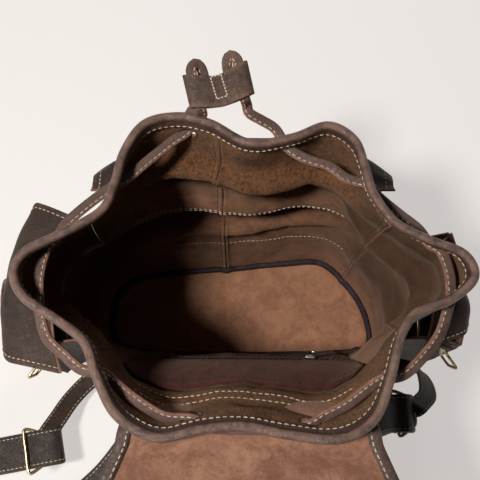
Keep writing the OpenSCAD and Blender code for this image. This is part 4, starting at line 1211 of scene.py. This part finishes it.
def box_set(centre, ax, ay, az, sx, sy, sz, round_by):
    """A small rounded block's vertices and faces, along three directions."""
    n = 3
    grid = np.linspace(-1, 1, n)
    vertices, faces = [], []
    for axis in range(3):
        for sign in (-1, 1):
            start = len(vertices)
            for i in grid:
                for j in grid:
                    p = [0, 0, 0]
                    p[axis], p[(axis + 1) % 3], p[(axis + 2) % 3] = sign, i, j
                    p = np.array(p, float)
                    length = np.linalg.norm(p)
                    p = p * (1 - round_by) + p / length * round_by
                    vertices.append(centre + ax * p[0] * sx / 2 + ay * p[1] * sy / 2 + az * p[2] * sz / 2)
            for i in range(n - 1):
                for j in range(n - 1):
                    a = start + i * n + j
                    quad = (a, a + n, a + n + 1, a + 1)
                    faces.append(quad if sign > 0 else quad[::-1])
    return vertices, faces


def make_zip():
    for name, low, high in (("low", -4.6, -1.2), ("high", 1.2, 4.6)):
        x = np.linspace(-ZIP_HALF, ZIP_HALF, 120)
        heights = (low, (low + high) / 2, high)
        grid = np.stack([[zip_point(a, 1.0 + 0.15 * math.sin(a * 0.9), h) for a in x] for h in heights])
        obj = sheet_piece(f"zip_tape_{name}", grid, ["tape"], 0.8, 0.0, 0, 0)
        finish_piece(obj, "bag", "dark_piping", *(["zip_tapes"] if name == "low" else []))
    sets = []
    pitch = 1.6
    for k in range(int(2 * ZIP_HALF / pitch)):
        hand = 1 if k % 2 else -1
        tilt = unit(ZIP_ALONG * 0.22 * hand + UP)
        at = zip_point(-ZIP_HALF + pitch * (k + 0.5), 1.5, 0.35 * hand)
        sets.append(box_set(at, unit(np.cross(ZIP_IN, tilt)), ZIP_IN, tilt, 1.15, 1.5, 3.2, 0.5))
    finish_piece(new_object("zip_teeth", *join_sets(sets), ["tape"]), "bag", "dark_piping", "zip_coil")


def make_slider():
    """Two plates with a bridge, and the loop and the tab of the pull."""
    at = zip_point(SLIDER_X, 3.4, 0)
    sets = [box_set(at, ZIP_ALONG, ZIP_IN, UP, 10, 1.8, 8, 0.3),
            box_set(at + ZIP_IN * 1.6, ZIP_ALONG, ZIP_IN, UP, 7, 2.2, 2.6, 0.6),
            box_set(at + ZIP_ALONG * 3 + ZIP_IN * 0.8, ZIP_ALONG, ZIP_IN, UP, 2.4, 1.6, 6.5, 0.4)]
    obj = round_edges(new_object("zip_slider_body", *join_sets(sets), ["steel"]))
    finish_piece(obj, "zip_slider", "brass", "zip_slider")
    pull = zip_point(SLIDER_X, 8.9, 0)
    lean = math.radians(PULL_LEAN)
    hang = UP * math.cos(lean) + ZIP_ALONG * math.sin(lean)
    across = ZIP_ALONG * math.cos(lean) - UP * math.sin(lean)
    oval = circle(3.4, 7.5, 40)
    line = pull + np.outer(oval[:, 0], across) + np.outer(oval[:, 1] - 9.5, hang)
    side = unit(line - line.mean(axis=0))
    up = np.tile(ZIP_IN, (len(oval), 1))
    loop = sweep("zip_pull_loop", line, side, up, circle(0.8, count=8), ["steel"], closed=True)
    finish_piece(loop, "zip_pull", "brass")
    steps = np.linspace(0, 1, 12)
    widths = 2.2 + 1.4 * np.sin(np.pi * np.clip(steps * 0.9 + 0.1, 0, 1))
    line = pull + np.outer(-15 - 16 * steps, hang)
    profiles = np.stack([strap_profile(2 * w, 1.5, 0.6) for w in widths])
    obj = sweep("zip_pull_tab", line, np.tile(across, (12, 1)), np.tile(ZIP_IN, (12, 1)), profiles, ["steel"])
    finish_piece(obj, "zip_pull", "brass", "zip_pull")


make_zip_pocket()
make_zip()
make_slider()

# ---------------------------------------------------------------- main flap

FLAP_PIVOT = np.array([-4.0, 177.0, 352.0])
FLAP_BELOW = 22.0
REAR_LEN, MIDDLE_LEN, FRONT_LEN = 80.0, 255.0, 70.0
SLOPES = [math.radians(a) for a in (-12, -68, -80)]
ROOT_HALF, REAR_HALF, FLAP_HALF = 92.0, 104.0, 134.0
NOSE_R = 44.0


def flap_line(s):
    """The flap's middle line in (y, z) and its upward direction, s millimetres from where it is sewn on."""
    root = wall(0.5, 292.0, SURFACE + 4.5, plain=True)[1:]
    strip_top = wall(0.5, 322.0, SURFACE + 4.0, plain=True)[1:]
    rear, middle, front = (np.array([math.cos(slope), math.sin(slope)]) for slope in SLOPES)
    start = FLAP_PIVOT[1:] + FLAP_BELOW * np.array([rear[1], -rear[0]])
    fold = start + REAR_LEN * rear
    nose = fold + MIDDLE_LEN * middle
    end = nose + FRONT_LEN * front

    def part(a, b, f):
        return a + (b - a) * f

    knots = [root, part(root, strip_top, 0.7), strip_top + [4, 4], part(strip_top, start, 0.55) + [0, 8],
             start + [0, 0.5], part(start, fold, 0.5), fold - 9 * rear, fold + 9 * middle,
             part(fold, nose, 0.2), part(fold, nose, 0.5), part(fold, nose, 0.8), nose,
             part(nose, end, 0.5), end]
    fine = smooth_line([(k[0], k[1], 0) for k in knots], 1.0)[:, :2]
    length = np.concatenate([[0], np.cumsum(np.linalg.norm(np.diff(fine, axis=0), axis=1))])

    def at(s):
        return np.interp(s, length, fine[:, 0]), np.interp(s, length, fine[:, 1])

    step = 2.0
    dy, dz = (ahead - behind for ahead, behind in zip(at(s + step), at(s - step)))
    norm = np.maximum(np.hypot(dy, dz), 1e-6)
    return *at(s), -dz / norm, dy / norm, length[-1]


FLAP_TOTAL = flap_line(np.array([0.0]))[4]


def flap_s(y_target, z_target):
    """How far along the flap the point nearest to (y, z) is."""
    s = np.linspace(0, FLAP_TOTAL, 2000)
    y, z = flap_line(s)[:2]
    return s[np.argmin(np.hypot(y - y_target, z - z_target))]


FLAP_T = 3.0
HINGE_S = flap_s(172.4, 330.5)
FOLD_S = flap_s(250.7, 313.9)
NOSE_S = flap_s(346.2, 77.4)


def flap_half_width(s):
    from_end = FLAP_TOTAL - s
    half = np.interp(s, [0, HINGE_S, HINGE_S + 40, FOLD_S, FLAP_TOTAL],
                     [ROOT_HALF, REAR_HALF, REAR_HALF + 18, FLAP_HALF, FLAP_HALF])
    rounded = NOSE_R - np.sqrt(np.maximum(NOSE_R**2 - (NOSE_R - from_end) ** 2, 0))
    return half - np.where(from_end < NOSE_R, rounded, 0)


def flap_points(s, u, lift=0.0):
    """Points on the flap at s along and u from -1 to 1 across, lifted off its suede side."""
    y, z, ny, nz, _ = flap_line(s)
    half = flap_half_width(s)
    x = FLAP_PIVOT[0] + half * u
    free = np.clip((s - HINGE_S) / 60, 0, 1)
    soft = free * (2.2 * ripple(x, s, s * 0, 120, 13) + 0.8 * ripple(x, s, s * 0, 42, 14) + 2.0 * u**2)
    y = y + ny * (lift + soft)
    z = z + nz * (lift + soft)
    return np.stack(np.broadcast_arrays(x, y, z), axis=-1)


REAR_END, MIDDLE_END = (HINGE_S + FOLD_S) / 2, (FOLD_S + NOSE_S) / 2
# Each stretch of the flap has one joint, though it is not bent there: name, start and end along it, the
# bodies, the distances that the joint lies between, and the CAD nodes that it stands for
FLAP_PARTS = [
    ("root", 0.0, REAR_END, "bag", "flap_rear", HINGE_S - 26, HINGE_S + 6,
     ["flap_strip", "flap_rear", "flap_binding_rear"]),
    ("middle", REAR_END, MIDDLE_END, "flap_rear", "flap_middle", FOLD_S - 14, FOLD_S + 14,
     ["flap_middle", "flap_binding_middle"]),
    ("front", MIDDLE_END, FLAP_TOTAL, "flap_middle", "flap_front", NOSE_S - 12, NOSE_S + 12,
     ["flap_front", "flap_binding_front"]),
]


def bend(obj, bodies, low, high):
    """Bakes a piece of the flap's placing into its mesh; it does not bend the piece across its joint."""
    start, end = (tuple(flap_points(np.array([s]), np.array([0.0]))[0] * MM) for s in (low, high))
    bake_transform(obj)


def make_flap():
    for name, low, high, a, b, bend_low, bend_high, nodes in FLAP_PARTS:
        rows = int((high - low) / 3.2)
        s = np.linspace(low, high, rows)
        if name == "front":
            # closer together where the nose rounds off, and never quite to a point
            s = np.concatenate([np.linspace(low, high - NOSE_R, rows // 2),
                                high - NOSE_R * (1 - np.sin(np.linspace(0, np.pi / 2, 26)[1:]))])
            s[-1] = high - 0.02
        u = np.linspace(-1, 1, 81)
        ss, uu = np.meshgrid(s, u, indexing="ij")
        points = flap_points(ss.ravel(), uu.ravel()).reshape(len(s), len(u), 3)
        obj = sheet_piece(f"flap_{name}_leather", points, ["suede_flap", "outer", "raw_edge"], FLAP_T, -1.0)
        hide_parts(*nodes)
        bend(obj, (a, b), bend_low, bend_high)
        make_flap_edge(name, low, high, (a, b), bend_low, bend_high)


def make_flap_edge(name, low, high, bodies, bend_low, bend_high):
    """The folded binding around the flap's edge, and its two rows of stitches."""
    lip = 9.5
    thick = 1.2
    start = max(low, HINGE_S - 34)
    if name == "front":
        side_s = np.linspace(start, high - NOSE_R, 24)
        arc = np.linspace(0, np.pi / 2, 28)[1:]
        down = np.concatenate([side_s, high - NOSE_R * (1 - np.sin(arc))])
        down[-1] = high - 0.02
        width = flap_half_width(down)
        inner_s = np.concatenate([side_s, high - NOSE_R + (NOSE_R - lip) * np.sin(arc)])
        inner_half = np.concatenate([flap_half_width(side_s) - lip,
                                     FLAP_HALF - NOSE_R + (NOSE_R - lip) * np.cos(arc)])
        turn_x = FLAP_HALF - NOSE_R
        across = np.linspace(1, -1, 40)[1:-1]
        outer = ([(s, w) for s, w in zip(down, width)] + [(high - 0.02, turn_x * k) for k in across]
                 + [(s, -w) for s, w in zip(down[::-1], width[::-1])])
        inner = ([(s, w) for s, w in zip(inner_s, inner_half)] + [(high - lip, turn_x * k) for k in across]
                 + [(s, -w) for s, w in zip(inner_s[::-1], inner_half[::-1])])
        lanes = [(np.array(outer), np.array(inner))]
    else:
        s = np.linspace(start, high, max(8, int((high - start) / 3.5)))
        half = flap_half_width(s)
        lanes = []
        for side in (1, -1):
            outer = np.stack([s, side * half], axis=1)
            inner = np.stack([s, side * (half - lip)], axis=1)
            lanes.append((outer, inner) if side > 0 else (outer[::-1], inner[::-1]))
    sets, rows = [], []

    def place(line, lift):
        half = np.maximum(flap_half_width(line[:, 0]), 1)
        return flap_points(line[:, 0], line[:, 1] / half, lift)

    for outer, inner in lanes:
        edge_out = unit(place(outer, 0) - place(inner, 0))
        top, bottom = thick, -FLAP_T - thick
        middle = (outer + inner) / 2
        profile = [place(inner, 0.1), place(inner, top), place(middle, top + 0.15), place(outer, top),
                   place(outer, top - 0.9) + edge_out * 1.5, place(outer, -FLAP_T / 2) + edge_out * 2.0,
                   place(outer, bottom + 0.9) + edge_out * 1.5, place(outer, bottom),
                   place(middle, bottom - 0.15), place(inner, bottom), place(inner, -FLAP_T - 0.1)]
        sets.append((np.stack(profile, axis=1), grid_faces(len(outer), len(profile), wrap_cols=True)))
        stitch_line = inner + (outer - inner) * 0.32
        normal = unit(place(stitch_line, 2.0) - place(stitch_line, 1.0))
        rows.append((place(stitch_line, top + 0.2), normal))
        rows.append((place(stitch_line, bottom - 0.2), -normal))
    vertices, faces = join_sets(sets)
    obj = new_object(f"flap_{name}_edge", vertices, faces, ["binding"])
    paint(obj, np.full(len(vertices), 0.25))
    bend(obj, bodies, bend_low, bend_high)
    obj = stitches(f"flap_{name}_stitches", rows, None)
    bend(obj, bodies, bend_low, bend_high)


def make_flap_strap():
    s = np.linspace(FLAP_TOTAL - 62, FLAP_TOTAL - 4, 24)
    line = flap_points(s, np.zeros_like(s), -FLAP_T - 2.8)
    out = unit(flap_points(s, np.zeros_like(s), -FLAP_T - 4) - line)
    points = [tuple(p) for p in line[::4]] + [tuple(line[-1])]
    middle = line[-6]
    strap_with_stud("flap_strap_leather", "flap_front", "brass", points, (1, 0, 0), 30, 2.6,
                    tuple(middle + out[-6] * 1.3), tuple(out[-6]), "flap_strap", "flap_stud", "brass")


make_flap()
make_flap_strap()

# ---------------------------------------------------------------- handle, straps and rings


def wall_patch(name, t_low, t_high, z_low, z_high, nodes, thickness=LEATHER, nt=30, nz=20):
    """A stitched patch of leather on the wall's outer face."""
    t, z = np.meshgrid(np.linspace(t_low, t_high, nt), np.linspace(z_low, z_high, nz))
    normal = wall_normal(t, z)
    points = wall(t, z) + normal * (SURFACE + 0.3 + thickness / 2)
    obj = sheet_piece(name, points, ["outer", "suede", "dark_edge"], thickness, 0.0)
    finish_piece(obj, "bag", "outer_leather", *nodes)
    within = slice(2, -2)
    lines = [(points[pick], normal[pick]) for pick in ((2, within), (-3, within), (within, 2), (within, -3))]
    stitches(name + "_stitches", lifted(lines, thickness / 2 + 0.15), "bag")


def make_handle():
    wall_patch("strap_yoke_leather", 0.452, 0.548, 196, 240, ["strap_yoke"])
    wall_patch("handle_tab_leather_left", 0.442, 0.464, 250, 274, ["handle_tabs"], nt=14, nz=14)
    wall_patch("handle_tab_leather_right", 0.536, 0.558, 250, 274, [], nt=14, nz=14)
    y = wall(0.5, 262.0, 0, plain=True)[1] + 12.5
    arm = [(46, -7.5, 264), (46.5, 9, 261), (32, 27, 254)]
    left = [(x, y + out, z) for x, out, z in arm]
    route = [(-x, out, z) for x, out, z in left] + [(0, y + 34, 250)] + left[::-1]
    line = smooth_line(route, 2.0)
    along = tangents(line)
    side = unit(np.cross(along, np.array([0, 0.3, 1.0])))
    up = np.cross(side, along)
    profile = strap_profile(18, 6.5, 2.8, 0.4)
    obj = sweep("top_handle_leather", line, side, up, profile, ["strap"])
    edge_wear(obj, profile, 18, len(line))
    finish_piece(obj, "handle", "outer_leather", "top_handle")
    line, side, up = line[3:-3], side[3:-3], up[3:-3]
    rows = [(line + side * a + up * b * 3.5, up * b) for a in (-6, 6) for b in (-1, 1)]
    stitches("top_handle_stitches", rows, "handle")


# Where the shoulder straps and the lower straps run: points and the heading of the strap's width,
# in degrees. Each one folds back on itself round its wire ring.
ROUTES = {
    "left": [(27, 112.5, 230, 0), (33, 106.5, 190, -2), (44, 94, 140, -6), (58, 92, 85, -16),
             (84, 106, 36, -34), (118, 146, 12, -40), (165, 208, 7, -45), (222, 250, 6, -68),
             (284, 262, 6, -92), (328, 238, 7, -140), (334, 206, 12, -180), (318, 188, 26, -215),
             (294, 182, 38, -250), (266, 177, 44, -258), (250, 174, 46, -258), (234, 171, 50, -258),
             (222, 169, 51, -258), (214, 167, 46, -258), (216, 168, 38, -258), (228, 170, 35, -258),
             (244, 173, 36, -258)],
    "right": [(-27, 112.5, 230, 0), (-33, 106.5, 190, 3), (-44, 94, 140, 6), (-56, 94, 84, 14),
              (-68, 104, 34, 24), (-86, 124, 10, 45), (-114, 140, 6, 75), (-142, 142, 14, 90),
              (-160, 138, 42, 90), (-166, 135, 68, 90), (-168, 134, 84, 90), (-174, 134, 94, 90),
              (-184, 134, 95, 90), (-191, 134, 86, 90), (-190, 134, 73, 90), (-181, 134, 66, 90),
              (-174, 134, 68, 90)],
}
LOWER = {
    "left": [(188, 88, 12, -40), (209, 112, 20, -36), (221, 138, 38, -38), (227, 152, 49, -42),
             (231, 160, 51, -46), (233, 163, 46, -46), (229, 157, 40, -44)],
    "right": [(-192, 70, 14, -90), (-214, 72, 18, -60), (-221, 88, 36, -40), (-216, 110, 66, -28),
              (-203, 122, 84, -30), (-196, 127, 91, -32), (-190, 130, 88, -32)],
}
ANCHOR_T = {"left": 0.328, "right": 0.672}
STRAP_W, STRAP_T, LOWER_W = 42.0, 6.0, 22.0


def route_line(route):
    fine = smooth_line(route, 3.0)
    heading = np.radians(fine[:, 3])
    return fine[:, :3], np.stack([np.cos(heading), np.sin(heading), 0 * heading], axis=1)


def strap_piece(name, line, across, width, thickness, body, node, inset=4.0, leather="strap"):
    side, up = flat_frames(line, across)
    profile = strap_profile(width, thickness, None, 0.5, 11)
    obj = sweep(name, line, side, up, profile, [leather])
    edge_wear(obj, profile, width, len(line))
    finish_piece(obj, body, "outer_leather", node)
    rows = [(line + side * k * (width / 2 - inset) + up * f * (thickness / 2 + 0.35), up * f)
            for k in (-1, 1) for f in (-1, 1)]
    stitches(name + "_stitches", rows, body)


def make_straps(which):
    body = f"strap_{which}"
    line, across = route_line(ROUTES[which])
    strap_piece(f"shoulder_strap_leather_{which}", line, across, STRAP_W, STRAP_T, body,
                f"shoulder_strap_{which}")
    t = ANCHOR_T[which]
    out = wall_out(np.array([t]), np.array([16.0]))[0]
    root = wall(t, 16.0, SURFACE + 0.3 + 2 * LEATHER + 3, plain=True)
    heading = math.degrees(math.atan2(out[1], out[0])) - 90
    start = [(root[0], root[1], 16, heading), (root[0] + 12 * out[0], root[1] + 12 * out[1], 15, heading)]
    line, across = route_line(start + LOWER[which])
    strap_piece(f"lower_strap_leather_{which}", line, across, LOWER_W, 3.0, body, f"lower_strap_{which}", 2.6,
                "outer")
    wall_patch(f"strap_anchor_leather_{which}", t - 0.018, t + 0.018, 6, 26, [f"strap_anchor_{which}"],
               4.6, 18, 12)


def wire(name, line, side, up, radius, body, node, count=12):
    up = np.tile(up, (len(line), 1))
    obj = sweep(name, line, side, up, circle(radius, count=count), ["brass"], closed=True)
    finish_piece(obj, body, "brass", node)


def mirrored(half):
    """A closed outline from one half of it, whose first and last points lie on the axis."""
    return half + [(x, -y) for x, y in half[-2:0:-1]]


def strap_ring(which, at, tip, turn, depth):
    """A rounded ring of brass wire with its wide bar along Y, turned about Y and then about Z."""
    wide, narrow = 25.0, 14.0
    outline = mirrored([(0, 0), (0, wide * 0.8), (-depth * 0.12, wide), (-depth * 0.6, (wide + narrow) / 2),
                        (-depth * 0.94, narrow), (-depth, 0)])
    line = smooth_line([(x, y, 0) for x, y in outline[-1:] + outline[:-1]], 1.2, closed=True)
    along = tangents(line, closed=True)
    side = np.stack([along[:, 1], -along[:, 0], 0 * along[:, 0]], axis=1)
    turned_z = Matrix.Rotation(math.radians(turn), 3, "Z")
    matrix = np.array(turned_z @ Matrix.Rotation(math.radians(tip), 3, "Y"))
    wire(f"strap_ring_wire_{which}", line @ matrix.T + np.array(at), side @ matrix.T, matrix @ UP, 2.0,
         f"strap_{which}", f"strap_ring_{which}")


def side_ring(which, sign, y):
    """A small ring that hangs from a leather tab on the wall."""
    heading = math.radians(-32)
    outline = mirrored([(0, 0), (0, 9.6), (-2, 12), (-11, 9), (-17, 6), (-18, 0)])
    flat = smooth_line([(p, q, 0) for p, q in outline[-1:] + outline[:-1]], 0.9, closed=True)
    # the ring's depth runs down, and its bar follows the heading
    bar = np.array([-math.sin(heading) * sign, math.cos(heading), 0])
    line = np.array([208.5 * sign, y, 190]) + np.outer(flat[:, 0], UP) + np.outer(flat[:, 1], bar)
    up = unit(np.cross(bar, UP))
    side = np.cross(tangents(line, closed=True), up)
    wire(f"side_ring_wire_{which}", line, side, up, 1.5, f"side_ring_{which}", f"side_ring_{which}", 10)
    low, high = (np.array(c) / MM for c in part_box(f"side_ring_tab_{which}"))
    slant = math.radians(19)
    along = np.array([math.cos(slant) * sign, math.sin(slant), 0])
    out = np.array([-along[1], along[0], 0]) * sign
    tab = box_set((low + high) / 2, along, out, UP, 11, 2.6, 12, 0.18)
    obj = round_edges(new_object(f"side_ring_tab_leather_{which}", *join_sets([tab]), ["binding"]))
    finish_piece(obj, "bag", "binding_leather", f"side_ring_tab_{which}")


make_handle()
for which_side in SIDES:
    make_straps(which_side)
strap_ring("left", (251, 175, 53), -20, 12, 26)
strap_ring("right", (-172, 134, 84), 10, 8, 22)
side_ring("left", 1, 94)
side_ring("right", -1, 85)

# ---------------------------------------------------------------- floor and light


FLOOR_SIZE = 60


def make_stage():
    """A pale floor that glows a little, a key light from above and two weak ones from the sides."""
    bpy.ops.mesh.primitive_plane_add(size=FLOOR_SIZE, location=(0, 0, -0.0005))
    floor = bpy.context.object
    floor.name = "floor"
    material = bpy.data.materials.new("floor")
    material.use_nodes = True
    shader = material.node_tree.nodes["Principled BSDF"]
    look = {"Base Color": (0.3, 0.288, 0.28, 1), "Roughness": 0.9, "Specular IOR Level": 0.05,
            "Emission Color": (0.83, 0.79, 0.765, 1), "Emission Strength": 0.66}
    for socket, value in look.items():
        shader.inputs[socket].default_value = value
    floor.data.materials.append(material)

    def area(name, place, aim, size, power, colour):
        data = bpy.data.lights.new(name, "AREA")
        data.shape = "DISK"
        data.size = size
        data.energy = power
        data.color = colour
        light = bpy.data.objects.new(name, data)
        light.location = place
        light.rotation_euler = (Vector(aim) - Vector(place)).to_track_quat("-Z", "Y").to_euler()
        bpy.context.scene.collection.objects.link(light)

    area("key", (0.66, 0.34, 1.75), (0, 0, 0.1), 0.26, 39, (1.0, 0.965, 0.92))
    area("side", (0.9, 1.5, 0.55), (0, 0.1, 0.25), 0.8, 9, (1.0, 0.98, 0.96))
    area("front", (-0.4, -1.6, 0.9), (0, 0, 0.25), 0.9, 7, (0.97, 0.98, 1.0))
    world = bpy.data.worlds.new("world")
    world.use_nodes = True
    background = world.node_tree.nodes["Background"]
    background.inputs["Color"].default_value = (1.0, 0.985, 0.97, 1)
    background.inputs["Strength"].default_value = 0.055
    bpy.context.scene.world = world
    bpy.context.scene.view_settings.view_transform = "Standard"


make_stage()
